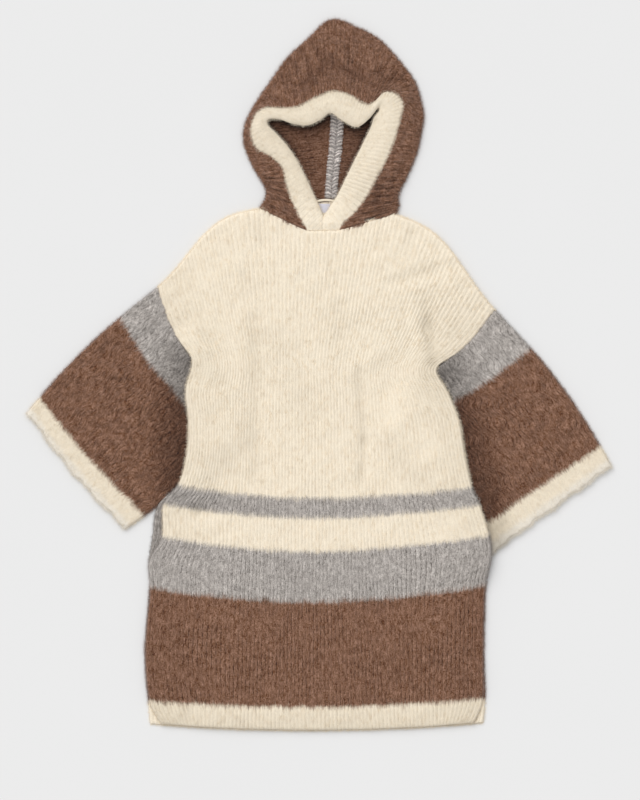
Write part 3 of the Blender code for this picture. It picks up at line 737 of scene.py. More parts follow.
def knit_relief_group():
    """Stitches down each rib, and the dashed shadow lines in the valleys between ribs."""
    graph, given, made = new_group(
        "Knit relief",
        (*PLACE, ("Stitch", NUMBER, STITCH)),
        (("Height", NUMBER), ("Valley", NUMBER)),
    )
    rib, along, stitch = given["Rib"], given["Along"], given["Stitch"]
    off_ridge = graph.maths("ABSOLUTE", graph.maths("SUBTRACT", graph.maths("FRACT", rib), 0.5))
    course = graph.maths("DIVIDE", along, stitch)
    slanted = graph.times_plus(off_ridge, STITCH_SLANT, course)
    zigzag = graph.maths("PINGPONG", slanted, 0.5)
    ridge = graph.between(off_ridge, 0.0, 0.5, 1.0, 0.0)
    graph.feed(made["Height"], graph.times(zigzag, ridge))
    dashes = graph.noise(rib, graph.times(course, DASHES))
    dashes = graph.between(dashes, *DASH_EDGE, DASH_GAP, 1.0)
    patches = graph.noise(graph.times(rib, CLEAR_RIBS), graph.maths("DIVIDE", along, CLEAR_LENGTH))
    clear = graph.between(patches, *CLEAR_EDGE, CLEAR_LEFT, 1.0)
    valley = graph.between(off_ridge, VALLEY_START, 0.5)
    shadow = graph.times(valley, dashes)
    graph.feed(made["Valley"], graph.times(shadow, clear))
    return graph.tree


def yarn_feather_group():
    """Moves the place where one yarn gives way to the next by a little, rib by rib."""
    graph, given, made = new_group(
        "Yarn feather",
        (*PLACE, ("Place", NUMBER, 0.0), ("Reach", NUMBER, 0.01)),
        (("Place", NUMBER),),
    )
    rib, along = given["Rib"], given["Along"]
    hairs = graph.noise(
        graph.times(rib, HAIR_RIBS), graph.maths("DIVIDE", along, HAIR_LENGTH), 3.0
    )
    sway = graph.noise(graph.times(rib, SWAY_RIBS), graph.maths("DIVIDE", along, SWAY_LENGTH))
    shift = graph.plus(hairs, graph.times(sway, SWAY))
    shift = graph.maths("SUBTRACT", shift, FEATHER_MIDDLE)
    shift = graph.times(shift, given["Reach"])
    graph.feed(made["Place"], graph.plus(given["Place"], shift))
    return graph.tree


def heather_group():
    """Mottles a yarn with brushed locks that swirl about its ribs, and with finer specks."""
    graph, given, made = new_group(
        "Heather",
        (
            *PLACE,
            ("Colour", COLOUR, (1, 1, 1, 1)),
            ("Strength", NUMBER, 0.3),
            ("Swirl", NUMBER, SWIRL),
        ),
        (("Colour", COLOUR), ("Nap", NUMBER)),
    )
    x = graph.times(given["Rib"], RIB_WIDTH)
    y = graph.maths("DIVIDE", given["Along"], MM)

    def lumps(wide, long, detail, shift=0.0):
        over = graph.plus(graph.maths("DIVIDE", x, wide), shift)
        down = graph.plus(graph.maths("DIVIDE", y, long), shift)
        return graph.maths("SUBTRACT", graph.noise(over, down, detail), 0.5)

    swirls = [lumps(SWIRL_SIZE, SWIRL_SIZE, 1.0, shift) for shift in SWIRL_SHIFTS]
    x, y = (
        graph.times_plus(swirl, given["Swirl"], axis)
        for swirl, axis in zip(swirls, (x, y))
    )
    locks, specks = lumps(*LOCK_SIZE, 2.0), lumps(*SPECK_SIZE, 1.0)
    mottle = graph.times(lumps(*PATCH_SIZE, 1.0), PATCH_STRENGTH)
    mottle = graph.times_plus(locks, LOCK_STRENGTH, mottle)
    mottle = graph.times_plus(specks, SPECK_STRENGTH, mottle)
    factor = graph.times_plus(mottle, given["Strength"], 1.0)
    factor = graph.maths("MAXIMUM", factor, LEAST_FACTOR)
    graph.feed(made["Colour"], graph.toned(given["Colour"], factor))
    graph.feed(made["Nap"], graph.times_plus(specks, SPECK_NAP, locks))
    return graph.tree


def fibre_tone_group():
    """Gives each fibre its own lightness, from the place of its root."""
    graph, given, made = new_group(
        "Fibre tone",
        (*PLACE, ("Colour", COLOUR, (1, 1, 1, 1)), ("Strength", NUMBER, 0.3)),
        (("Colour", COLOUR),),
    )
    place = graph.add("ShaderNodeCombineXYZ", given["Rib"], given["Along"], 0.0).outputs[0]
    chance = graph.add("ShaderNodeTexWhiteNoise", place, noise_dimensions="2D").outputs["Value"]
    swing = graph.maths("SUBTRACT", chance, TONE_MIDDLE)
    swing = graph.times(swing, TONE_SWING)
    factor = graph.times_plus(swing, given["Strength"], 1.0)
    graph.feed(made["Colour"], graph.toned(given["Colour"], factor))
    return graph.tree


GROUP_MAKERS = {
    "Knit relief": knit_relief_group,
    "Yarn feather": yarn_feather_group,
    "Heather": heather_group,
    "Fibre tone": fibre_tone_group,
}


def group_node(graph, name, **values):
    """The outputs of one of the shared groups, which is built when it is first used."""
    tree = bpy.data.node_groups.get(name) or GROUP_MAKERS[name]()
    node = graph.tree.nodes.new("ShaderNodeGroup")
    node.node_tree = tree
    for socket, value in values.items():
        graph.feed(node.inputs[socket], value)
    return node.outputs


def new_material(name, roughness, sheen):
    """A material, its graph and its shader's sockets, with the sheen of brushed fibres."""
    material = bpy.data.materials.new(name)
    material.use_nodes = True
    shader = material.node_tree.nodes["Principled BSDF"]
    shader.inputs["Roughness"].default_value = roughness
    shader.inputs["Sheen Weight"].default_value = sheen
    shader.inputs["Sheen Roughness"].default_value = SHEEN_ROUGHNESS
    shader.inputs["Specular IOR Level"].default_value = SPECULAR
    return material, Graph(material.node_tree), shader.inputs


def map_numbers(graph, name):
    uv = graph.add("ShaderNodeUVMap", uv_map=name).outputs[0]
    split = graph.add("ShaderNodeSeparateXYZ", uv).outputs
    return split["X"], split["Y"]


def yarn_ramp(graph, place, bands, length, blur):
    """Colours of the yarns along the piece, and how mottled each is."""
    node = graph.add("ShaderNodeValToRGB", place)
    ramp = node.color_ramp
    yarns = yarn_table()
    first = yarns[bands[0].yarn]
    ramp.elements[0].color = (*first.colour, first.heather)
    ramp.elements.remove(ramp.elements[1])
    for before, band in zip(bands, bands[1:]):
        for shift, name in ((-blur, before.yarn), (blur, band.yarn)):
            stop = ramp.elements.new((band.start + shift) / length)
            stop.color = (*yarns[name].colour, yarns[name].heather)
    return node.outputs


def striped(graph, rib, along, place, bands, length, change):
    """The yarn's colour and how mottled it is, with each change of yarns unevenly shifted."""
    reach = change.feather / length
    moved = group_node(graph, "Yarn feather", Rib=rib, Along=along, Place=place, Reach=reach)
    return yarn_ramp(graph, moved["Place"], bands, length, change.blur)


def knit_material(name, bands, length, swirl=SWIRL, brushed=None, change=STRIPE_CHANGE):
    """Rib knit in yarns that follow each other along the piece.

    brushed makes the share of the ribs and locks that brushing has smoothed away, from the rib's
    number and the place along the piece.
    """
    material, graph, shader = new_material(name, *KNIT_FINISH)
    rib, along = map_numbers(graph, "knit")
    place, shade = map_numbers(graph, "yarn")
    left = graph.maths("SUBTRACT", 1.0, brushed(graph, rib, place) if brushed else 0.0)
    colour, mottling = striped(graph, rib, along, place, bands, length, change)
    relief = group_node(graph, "Knit relief", Rib=rib, Along=along, Stitch=STITCH)
    heather = group_node(
        graph, "Heather", Rib=rib, Along=along, Colour=colour, Strength=mottling, Swirl=swirl
    )
    # painted shade along the valleys between the ribs
    depth = graph.times_plus(mottling, DARK_VALLEY, CREAM_VALLEY)
    depth = graph.times(depth, left)
    colour = graph.shaded(heather["Colour"], graph.times(relief["Valley"], depth))
    colour = graph.shaded(colour, graph.times(shade, SHADE))
    graph.feed(shader["Base Color"], colour)
    nap = graph.times_plus(mottling, DARK_NAP, CREAM_NAP)
    height = graph.times(heather["Nap"], nap)
    height = graph.times_plus(relief["Height"], STITCH_RELIEF, height)
    height = graph.times(height, left)
    bump = graph.add("ShaderNodeBump", named={**KNIT_BUMP, "Height": height})
    graph.feed(shader["Normal"], bump.outputs[0])
    return material


def fibre_material(name, bands, length, change=STRIPE_CHANGE):
    """Fibres in the same yarns, each with a tone of its own."""
    material, graph, shader = new_material(name, *FIBRE_FINISH)
    rib, along = map_numbers(graph, "knit")
    place, shade = map_numbers(graph, "yarn")
    colour, mottling = striped(graph, rib, along, place, bands, length, change)
    tone = group_node(graph, "Fibre tone", Rib=rib, Along=along, Colour=colour, Strength=mottling)
    colour = graph.shaded(tone["Colour"], graph.times(shade, SHADE))
    graph.feed(shader["Base Color"], colour)
    return material


def yarn_table():
    colours = bpy.context.scene.hoodie_colours
    return {
        "cream": Yarn(tuple(colours.cream), SMOOTH_HEATHER),
        "grey": Yarn(tuple(colours.grey), GREY_HEATHER),
        "brown": Yarn(tuple(colours.brown), BROWN_HEATHER),
        "cuff": Yarn(tuple(colours.cuff), SMOOTH_HEATHER),
    }


# -------------------- body


def top_edge(columns, corners):
    """The shoulders and the neck edge of a panel, at these columns."""
    knots = [knot for knot, _ in corners]
    x = np.interp(columns, knots, [place[0] for _, place in corners])
    y = np.interp(columns, knots, [place[1] for _, place in corners])
    flat = np.column_stack([x, y])
    right_share = (knots[-1] - columns) / (knots[-1] - knots[-2])
    for share, tip, neck, bulge in (
        (columns / knots[1], SHOULDER_LEFT, NECK_LEFT, SHOULDER_BULGE_LEFT),
        (right_share, SHOULDER_RIGHT, NECK_RIGHT, -SHOULDER_BULGE_RIGHT),
    ):
        height = bulge * np.sin(math.pi * np.clip(share, 0.0, 1.0) ** SHOULDER_BULGE_POWER)
        flat += height[:, None] * square_to(tip, neck)
    at_neck = (columns > knots[1]) & (columns < knots[-2])
    flat[:, 1] += np.where(at_neck, SEAM_TUCK, -SEAM_GAP)
    return flat


def armhole_bow(share, columns):
    """How far the armholes' edges bow out at this share of their height."""
    height = ARMHOLE_BOW * math.sin(math.pi * share)
    bow = np.zeros((len(columns), 2))
    across = columns / PANEL_COLUMNS
    for near, low, high, side in (
        (across, BODY_SECTIONS[-1][0:2], SHOULDER_LEFT, 1.0),
        (1.0 - across, BODY_SECTIONS[-1][2:4], SHOULDER_RIGHT, -1.0),
    ):
        here = side * height * (1.0 - smooth(near / ARMHOLE_BOW_REACH))
        bow += here[:, None] * square_to(low, high)
    return bow


def panel_lines(columns, corners, back):
    """Lines across a panel, from the hem to the top edge."""
    across = columns / PANEL_COLUMNS
    first, last = BODY_SECTIONS[0], BODY_SECTIONS[-1]
    lines = []
    for section in BODY_SECTIONS:
        left = section.left_x - (section.back_left if back else 0.0)
        right = section.right_x + (section.back_right if back else 0.0)
        up = (section.left_y - first.left_y) / (last.left_y - first.left_y)
        straight_left, straight_right = lerp(*STRAIGHT_LEFT, up), lerp(*STRAIGHT_RIGHT, up)
        x = lerp(straight_left, straight_right, across)
        bend = lerp(HEM_BEND, SIDE_BEND, float(smooth(up / HEM_BEND_REACH)))
        x += (left - straight_left) * (1.0 - smooth(across / bend))
        x += (right - straight_right) * (1.0 - smooth((1.0 - across) / bend))
        sag = section.dip * 4 * across * (1 - across)
        y = lerp(section.left_y, section.right_y, across) - sag
        lines.append(np.column_stack([x, y]))
    last = lines[-1]
    top = top_edge(columns, corners)
    for share in YOKE_LEVELS:
        lines.append(lerp(last, top, share) + armhole_bow(share, columns))
    return np.array(lines)


def panel_grid(columns, corners, back=False):
    """Places over a panel, its levels counted in sections, and its heights above the hem."""
    lines = panel_lines(columns, corners, back)
    rises = lines[:, :, 1].mean(axis=1)
    rises = rises - rises[0]
    heights = edged_steps(rises[-1], ROW_STEP)
    levels = np.interp(heights, rises, np.arange(len(rises)))
    return through(lines, levels), levels, heights, rises


def front_loft(flat, columns, levels):
    """How far the front's inner face stands above the back."""
    side = np.minimum(columns, PANEL_COLUMNS - columns) / PANEL_COLUMNS
    side = side * BODY_SECTIONS[0].right_x * 2
    end = np.minimum(levels, len(BODY_SECTIONS) + len(YOKE_LEVELS) - 1 - levels)
    loft = PUFF * smooth(side / PUFF_REACH) * np.clip(end, 0.0, 1.0)[:, None]
    for fold in FRONT_FOLDS:
        away = distance_to_segment(flat, fold[0:2], fold[2:4]) / fold.width
        loft = loft - fold.depth * np.exp(-away * away)
    return np.maximum(loft, 0.0)


def panel_maps(ribs, heights, total, shade):
    """The knit and yarn maps over a panel."""
    shape = (len(heights), len(ribs))
    knit = np.stack(
        [np.broadcast_to(ribs, shape), np.broadcast_to(heights[:, None] * MM, shape)], axis=-1
    )
    place = np.broadcast_to(heights[:, None] / total, shape)
    return knit, np.stack([place, np.broadcast_to(shade, shape)], axis=-1)


RIB_COLUMNS = PANEL_COLUMNS / FRONT_RIBS  # columns of the tables to a rib
RIB_PITCH = 2 * 260.0 / FRONT_RIBS  # between the body's ribs
ARMHOLE_LEVEL = 10.9  # the section from which the front's sides are sewn to the sleeves
ARMHOLE_BLEND = 0.5  # sections over which that sets in
WOBBLE, WOBBLE_LENGTH = 0.7, 70.0  # sideways wander of the ribs
WOBBLE_REACH = 10.0  # from the sides to where they wander fully
# The ribs' height against the rib height: its mean, and how far it varies along each rib and from
# place to place.
RIB_MEAN, RIB_DRIFT, RIB_PATCH = 0.8, 0.3, 0.3
RIB_DRIFT_LENGTH, RIB_PATCH_LENGTHS = 45.0, (70.0, 150.0)
RIPPLE, RIPPLE_LENGTHS = 0.5, (38.0, 90.0)  # unevenness of the cloth's height
WOBBLE_SEED, DRIFT_SEED, RIPPLE_SEED, PATCH_SEED = 11, 12, 13, 14
FRONT_INNER_STEP = 3 * RIB_POINTS  # columns of points to one on the inner face
CREASE_SHADE = 0.06  # shading of a crease for each millimetre of its depth
HEM_SHADE, HEM_REACH = 0.13, 34.0  # towards the hem, which rolls under
SIDE_SHADE, SIDE_SHADE_REACH = 0.07, 90.0  # towards the sides
TOP_PAINTED_LIGHT, TOP_PAINTED_LIGHT_REACH = 0.11, 6.0  # painted light: paler along the shoulders and the neck, against the shade at their edges
BACK_SIDE_COLUMNS = 8.0  # columns of the tables beside each side that have closely spaced points
BACK_SIDE_STEP, BACK_MIDDLE_STEP = 0.5, 4.0  # columns of the tables between columns of points
BACK_INNER_STEP = 2
BARE_REACH = 4.0  # over which the back's ribs set in where it shows beside the front
BACK_SHADE = 0.3  # of the strip of the back that shows beside the front
BACK_SHADE_LEVELS = (0.7, 7.5)  # sections between which it is shaded

# Yarns and the sections where they begin.
FRONT_YARNS = ((0, "cream"), (1, "brown"), (3, "grey"), (5, "cream"), (6, "grey"), (7, "cream"))
BACK_YARNS = ((0, "cream"), (1, "brown"), (3.9, "grey"), (7, "cream"))

# Small creases and dimples of the front: where each starts and ends, its width and its depth.
# A negative depth is a ridge.
WRINKLES = table(
    Fold,
    (180, 700, 190, 590, 55, 1.0),
    (-250, 386, -196, 363, 10, 1.8),
    (-196, 363, -168, 366, 9, 2.4),
    (-206, 392, -170, 384, 9, -1.0),
    (-226, 340, -150, 346, 12, -0.8),
    (-97, 826, -93, 806, 9, 1.2),
    (-120, 750, -112, 738, 9, 1.0),
    (18, 776, 26, 752, 6, 1.0),
    (155, 828, 150, 806, 9, 1.3),
    (120, 742, 190, 762, 9, 1.7),
    (128, 726, 196, 744, 10, -1.0),
    (176, 700, 181, 660, 11, 1.6),
    (180, 668, 188, 604, 9, 3.0),
    (156, 700, 164, 640, 12, -1.3),
    (-106, 680, -104, 420, 13, 1.5),
    (-128, 660, -128, 440, 14, -0.8),
    (66, 592, 76, 478, 8, 2.0),
    (76, 478, 70, 408, 8, 2.0),
    (90, 580, 96, 430, 14, -0.8),
    (112, 614, 80, 562, 12, 1.0),
    (-150, 452, -136, 430, 14, 1.1),
    (-190, 655, -176, 640, 9, 1.4),
    (-196, 590, -150, 572, 14, 0.9),
    (30, 700, 34, 640, 20, 0.8),
    (-60, 640, -20, 520, 26, 0.8),
    (120, 470, 170, 400, 24, 0.9),
    (-170, 380, -110, 360, 18, 0.9),
    (-40, 250, 60, 235, 22, 0.9),
    (80, 90, 200, 110, 24, 0.8),
    (-230, 150, -200, 60, 20, 0.9),
)


def sunk_by(flat, folds):
    """How far these folds move a face at each place: creases sink it and ridges raise it."""
    total = np.zeros(flat.shape[:-1])
    for fold in folds:
        away = distance_to_segment(flat, fold[0:2], fold[2:4]) / fold.width
        total -= fold.depth * np.exp(-away * away)
    return total


def joined_share(away):
    """Share of the wall's thickness beside a seam, where the next piece goes on."""
    return lerp(JOINED_SHARE, 1.0, smooth(away / JOINED_REACH))


def body_bands(rises, yarns):
    """Bands from levels counted in sections."""
    return [Band(np.interp(level, np.arange(len(rises)), rises), yarn) for level, yarn in yarns]


def painted_top_light(heights, total):
    """Painted light: how much paler each row is, close to the top edge, against the shade at that
    edge.
    """
    return TOP_PAINTED_LIGHT * (1.0 - smooth((total - heights) / TOP_PAINTED_LIGHT_REACH))[:, None]


def panel_cloth(name, flat, top, under, maps, step, bands, total):
    """A panel's wall, and its outer face. The inner face has one column of points to each step."""
    outer, inner = (Surface(np.dstack([flat, height]), *maps) for height in (top, under))
    coarse = np.arange(0, flat.shape[1], step)[::-1]
    loops = [np.concatenate([face, back[:, coarse]], axis=1) for face, back in zip(outer, inner)]
    material = knit_material(f"{name}_knit", bands, total)
    cloth = closed_cloth(f"{name}_cloth", *loops, flat.shape[1], material)
    return cloth, outer, bands, total


def build_front(rib_height):
    """The front's wall with its ribs and creases, its outer face, its bands and its height."""
    ribs = np.arange(FRONT_RIBS * RIB_POINTS + 1) / RIB_POINTS
    columns = ribs * RIB_COLUMNS
    flat, levels, heights, rises = panel_grid(columns, FRONT_TOP)
    total = rises[-1]
    side_away = np.minimum(ribs, FRONT_RIBS - ribs) * RIB_PITCH
    end_away = np.minimum(heights, total - heights)
    wobble = WOBBLE * rib_drift(ribs, heights, WOBBLE_LENGTH, WOBBLE_SEED)
    flat[..., 0] += wobble * np.clip(side_away / WOBBLE_REACH, 0, 1)
    under = lift(flat) + WALL + LAYER_GAP + front_loft(flat, columns, levels)
    open_share = edge_share(np.minimum(side_away, end_away[:, None]))
    armhole = smooth((levels - ARMHOLE_LEVEL) / ARMHOLE_BLEND)[:, None]
    side_share = lerp(edge_share(side_away), joined_share(side_away), armhole)
    at_neck = (columns > FRONT_TOP[1][0]) & (columns < FRONT_TOP[-2][0])
    upper = (heights > total / 2)[:, None] & at_neck
    share = np.where(upper, joined_share(end_away)[:, None], np.minimum(open_share, side_share))
    share = np.where(upper, share, np.where(end_away[:, None] < EDGE_RADIUS, share, side_share))
    strength = RIB_MEAN + RIB_DRIFT * rib_drift(ribs, heights, RIB_DRIFT_LENGTH, DRIFT_SEED)
    strength = strength + RIB_PATCH * ripples(flat, RIB_PATCH_LENGTHS, PATCH_SEED)
    top = under + WALL * share + rib_height * strength * rib_profile(ribs) * share
    top += RIPPLE * (ripples(flat, RIPPLE_LENGTHS, RIPPLE_SEED) + 1.0) * share
    creases = sunk_by(flat, WRINKLES)
    top += (creases + 1.0) * np.clip(share, 0.0, 1.0) ** 2
    shade = np.maximum(-creases, 0.0) * CREASE_SHADE
    shade = shade + HEM_SHADE * (1.0 - smooth((heights - HEM_REACH / 2) / HEM_REACH))[:, None]
    shade = shade + SIDE_SHADE * (1.0 - smooth(side_away / SIDE_SHADE_REACH))
    # painted shade, less the painted light along the top edge
    maps = panel_maps(ribs, heights, total, shade - painted_top_light(heights, total))
    bands = body_bands(rises, FRONT_YARNS)
    return panel_cloth("front", flat, top, under, maps, FRONT_INNER_STEP, bands, total)


def build_back(rib_height):
    """The back's wall, ribbed where it shows, its outer face, its bands and its height."""
    side = np.arange(0.0, BACK_SIDE_COLUMNS, BACK_SIDE_STEP)
    middle = np.arange(
        BACK_SIDE_COLUMNS, PANEL_COLUMNS - BACK_SIDE_COLUMNS + 1.0, BACK_MIDDLE_STEP
    )
    columns = np.concatenate([side, middle, PANEL_COLUMNS - side[::-1]])
    flat, levels, heights, rises = panel_grid(columns, BACK_TOP, back=True)
    total = rises[-1]
    ribs = columns / RIB_COLUMNS
    edge = np.minimum(columns, PANEL_COLUMNS - columns)
    side_away = edge * (RIB_PITCH / RIB_COLUMNS)
    end_away = np.minimum(heights, total - heights)
    share = edge_share(np.minimum(side_away, end_away[:, None]), BACK_EDGE_RADIUS)
    sections = np.arange(len(BODY_SECTIONS))
    shown = np.where(
        columns < PANEL_COLUMNS / 2,
        np.interp(levels, sections, [s.back_left for s in BODY_SECTIONS])[:, None],
        np.interp(levels, sections, [s.back_right for s in BODY_SECTIONS])[:, None],
    )
    bare = np.clip((shown - side_away) / BARE_REACH, 0.0, 1.0)
    rise = lift(flat)
    top = rise + WALL * share + rib_height * rib_profile(ribs) * bare * share
    start, end = BACK_SHADE_LEVELS
    shade = BACK_SHADE * np.clip(np.minimum(levels - start, end - levels), 0.0, 1.0)[:, None]
    # painted shade, less the painted light along the top edge
    maps = panel_maps(ribs, heights, total, shade - painted_top_light(heights, total))
    bands = body_bands(rises, BACK_YARNS)
    return panel_cloth("back", flat, top, rise, maps, BACK_INNER_STEP, bands, total)


# -------------------- sleeves

# How far a sleeve's lower edge bows out on its way from the underarm to the cuff.
LOW_BULGE = {SLEEVES["sleeve_left"]: 16.0, SLEEVES["sleeve_right"]: 0.0}
SLEEVE_INSET = WALL + 1.0  # of the inner face's folds from the outer ones
SLEEVE_INNER_STEP = 3  # rows of points to one on the inner face
TUFT = 0.7  # unevenness of the cuffs' edges from rib to rib
TUFT_WAVES = ((0.9, 3.6), (1.5, 8.7))  # their longer waves: height, and length in ribs
TUFT_REACH = 18.0
# How much of a cuff's edge is only a halo, on its upper and its under layer.
CUFF_THIN = {"sleeve_left": (8.0, 9.0), "sleeve_right": (5.0, 11.0)}
CUFF_START = 0.8  # share of the sleeve's length where the brushed cuff begins
CUFF_BLEND = 0.06  # share over which it sets in
SLEEVE_RIDGE = 1.45  # height of the sleeves' ribs, against the body's
CUFF_RIB = 0.08  # what the brushing leaves of its ribs
SLEEVE_BRUSHED, CUFF_BRUSHED = 0.15, 0.96  # shares of the ribs' looks that are brushed away
SLEEVE_WANDER, WANDER_LENGTHS = 0.5, (31.0, 67.0)  # how many ribs its ribs stray by
# The ribs' height, as on the front, and the most that it comes to.
SLEEVE_MEAN, SLEEVE_DRIFT, SLEEVE_PATCH, SLEEVE_MOST = 0.7, 0.3, 0.5, 1.5
SLEEVE_DRIFT_LENGTH, SLEEVE_PATCH_LENGTHS = 40.0, (17.0, 44.0)
SLEEVE_RIPPLE, SLEEVE_RIPPLE_LENGTHS = 0.9, (26.0, 60.0)
SLEEVE_LUMP, SLEEVE_LUMP_LENGTHS = 0.22, (8.0, 13.0)  # its small lumps
CUFF_SHADE, CUFF_SHADE_REACH = 0.1, 0.05
SLEEVE_SHADE = 0.55
SLEEVE_SHADE_REACH = 80.0
RISE_END = 0.6  # share of the way round the armhole up to which the sleeve rises to the body
RISE_BLEND = 0.1  # share over which that ends
RISE_REACH = 24.0
# Yarns and the sections where they begin.
SLEEVE_YARNS = ((0, "grey"), (2, "brown"), (6, "cream"), (6.6, "cuff"))


def armhole_edge(shape, across):
    """The sleeve's inner edge: along the armhole's seam, then on under the body."""
    square = square_to(shape.shoulder, shape.seam_end)
    if square @ np.subtract(shape.cuff_low, shape.underarm) < 0:
        square = -square
    seam = np.clip(across / SEAM_END_SHARE, 0.0, 1.0)[:, None]
    tucked = np.clip((across - SEAM_END_SHARE) / (1.0 - SEAM_END_SHARE), 0.0, 1.0)[:, None]
    place = lerp(np.array(shape.shoulder, float), np.array(shape.seam_end, float), seam)
    place = place + np.subtract(shape.underarm, shape.seam_end) * tucked
    return place + square * (ARMHOLE_BOW * np.sin(math.pi * seam) * (tucked == 0) - SEAM_TUCK)


def sleeve_grid(shape, along, across, under):
    """Places over a sleeve: across from its upper fold (0) to its lower fold (1)."""
    start = armhole_edge(shape, across)
    end = lerp(np.array(shape.cuff_high, float), np.array(shape.cuff_low, float), across[:, None])
    outward = unit(np.subtract(shape.cuff_high, shape.shoulder))
    bow = shape.cuff_bow + (shape.under_show if under else 0.0)
    end = end + outward * bow * np.sin(math.pi * across)[:, None]
    place = lerp(start[None], end[None], along[..., None])
    middle = np.mean([shape.shoulder, shape.cuff_high, shape.underarm, shape.cuff_low], axis=0)
    square = np.array([-outward[1], outward[0]])
    if square @ (np.array(shape.shoulder) - middle) < 0:
        square = -square
    bulge = shape.edge_bulge * np.sin(math.pi * along) * (1.0 - across) ** 2
    bulge = bulge - LOW_BULGE[shape] * np.sin(math.pi * along) * across ** 3
    return place + square * bulge[..., None]


def cuff_tufts(rng):
    """How far the cuff's edge reaches out at each half rib."""
    halves = np.arange(SLEEVE_RIBS * 2 + 1)
    tufts = rng.normal(0.0, TUFT, len(halves))
    for height, length in TUFT_WAVES:
        tufts += height * np.sin(math.pi * halves / length + rng.uniform(0.0, 6.0))
    return tufts


def seam_rise(flat, across, heights):
    """How far the sleeve rises at its seam to meet the body, which lies over its tucked corner."""
    along_seam = 1.0 - smooth((across - RISE_END) / RISE_BLEND + 1.0)
    near_seam = 1.0 - smooth(heights / RISE_REACH)
    return lift(flat) * near_seam[:, None] * along_seam


def build_sleeve(name, rib_height, seed):
    """A sleeve's flattened tube, and the outer faces of its two layers."""
    shape = SLEEVES[name]
    rng = np.random.default_rng(seed)
    top_ribs = np.arange(SLEEVE_RIBS * RIB_POINTS + 1) / RIB_POINTS
    under_ribs = top_ribs[-RIB_POINTS:0:-RIB_POINTS]
    heights = edged_steps(SLEEVE_LENGTH, SLEEVE_ROW_STEP)
    levels = np.arange(len(SLEEVE_ALONG_TOP))
    share = heights / SLEEVE_LENGTH
    width = norm(np.subtract(shape.cuff_high, shape.cuff_low))
    fold = WALL + SLEEVE_INNER_GAP / 2.0
    crown = 2 * WALL + SLEEVE_INNER_GAP
    tufts = cuff_tufts(rng)
    near_cuff = smooth((heights - (SLEEVE_LENGTH - TUFT_REACH)) / TUFT_REACH)
    ribbed = lerp(1.0, CUFF_RIB, smooth((share - CUFF_START) / CUFF_BLEND))[:, None]
    faces, inner_faces = {}, {}
    for side, ribs in (("top", top_ribs), ("under", under_ribs)):
        across = ribs / SLEEVE_RIBS
        along = np.broadcast_to(share[:, None], (len(share), len(across)))
        tuft = np.interp(ribs * 2.0, np.arange(len(tufts)), tufts)
        thin = CUFF_THIN[name][side == "under"]
        along = along + near_cuff[:, None] * (tuft - thin) / SLEEVE_LENGTH
        flat = sleeve_grid(shape, along, across, side == "under")
        inset = lerp(SLEEVE_INSET / width, 1.0 - SLEEVE_INSET / width, across)
        inner_flat = sleeve_grid(shape, along, inset, side == "under")
        fold_away = np.minimum(across, 1.0 - across) * width
        roundness = edge_share(fold_away, SLEEVE_FOLD_RADIUS)
        roundness = (roundness - EDGE_SHARE) / (1.0 - EDGE_SHARE)
        ends = (joined_share(heights) * edge_share(SLEEVE_LENGTH - heights))[:, None]
        # The sleeve's sections lean, and the yarns' places lean with them.
        lean = lerp(
            np.interp(along, SLEEVE_ALONG_TOP, levels),
            np.interp(along, SLEEVE_ALONG_BOTTOM, levels),
            across,
        )
        place = lean / levels[-1]
        wandered = ribs + SLEEVE_WANDER * ripples(flat, WANDER_LENGTHS, seed + 3)
        if side == "top":
            wall = (crown - fold - SLEEVE_INNER_GAP / 2.0) * ends * roundness
            drift = SLEEVE_DRIFT * rib_drift(ribs, heights, SLEEVE_DRIFT_LENGTH, seed + 1)
            drift = SLEEVE_MEAN + drift
            drift = drift + SLEEVE_PATCH * ripples(flat, SLEEVE_PATCH_LENGTHS, seed + 2)
            drift = np.clip(drift, 0.0, SLEEVE_MOST)
            height = fold + SLEEVE_INNER_GAP / 2.0 + wall
            ridge = SLEEVE_RIDGE * rib_height * drift * rib_profile(wandered) * ribbed
            height = height + ridge * roundness * ends
            uneven = SLEEVE_RIPPLE * (ripples(flat, SLEEVE_RIPPLE_LENGTHS, seed) * ribbed + 1.0)
            lumps = SLEEVE_LUMP * ripples(flat, SLEEVE_LUMP_LENGTHS, seed + 4)
            uneven = uneven + lumps * ribbed
            height = height + uneven * ends * roundness + seam_rise(flat, across, heights)
            inner_height = np.full(flat.shape[:2], WALL + SLEEVE_INNER_GAP)
        else:
            height = fold * (1.0 - roundness * np.ones((len(heights), 1)))
            inner_height = np.full(flat.shape[:2], WALL)
        cuff_shade = CUFF_SHADE * smooth((place - CUFF_START) / CUFF_SHADE_REACH)
        shade = np.maximum(sleeve_shade(flat), cuff_shade)
        knit = np.stack(np.broadcast_arrays(wandered, heights[:, None] * MM), axis=-1)
        maps = (knit, np.stack([place, shade], axis=-1))
        faces[side] = Surface(np.dstack([flat, height]), *maps)
        inner_faces[side] = Surface(np.dstack([inner_flat, inner_height]), *maps)
    outer, inner = (
        [np.concatenate(pair, axis=1) for pair in zip(layer["top"], layer["under"])]
        for layer in (faces, inner_faces)
    )
    loops = (
        np.concatenate([face, back[::-1][::SLEEVE_INNER_STEP]]).transpose(1, 0, 2)
        for face, back in zip(outer, inner)
    )
    bands = sleeve_bands()
    material = knit_material(f"{name}_knit", bands, SLEEVE_LENGTH, SLEEVE_SWIRL, sleeve_brushed)
    cloth = closed_cloth(f"{name}_cloth", *loops, len(heights), material, ring=True)
    return cloth, faces["top"], faces["under"]


def sleeve_brushed(graph, rib, place):
    """Some of the sleeve, and nearly all of its cuff."""
    cuff_end = CUFF_START + CUFF_BLEND
    return graph.between(place, CUFF_START, cuff_end, SLEEVE_BRUSHED, CUFF_BRUSHED)


def sleeve_bands():
    """Bands from sections counted along the sleeve."""
    section = SLEEVE_LENGTH / (len(SLEEVE_ALONG_TOP) - 1)
    return [Band(level * section, yarn) for level, yarn in SLEEVE_YARNS]


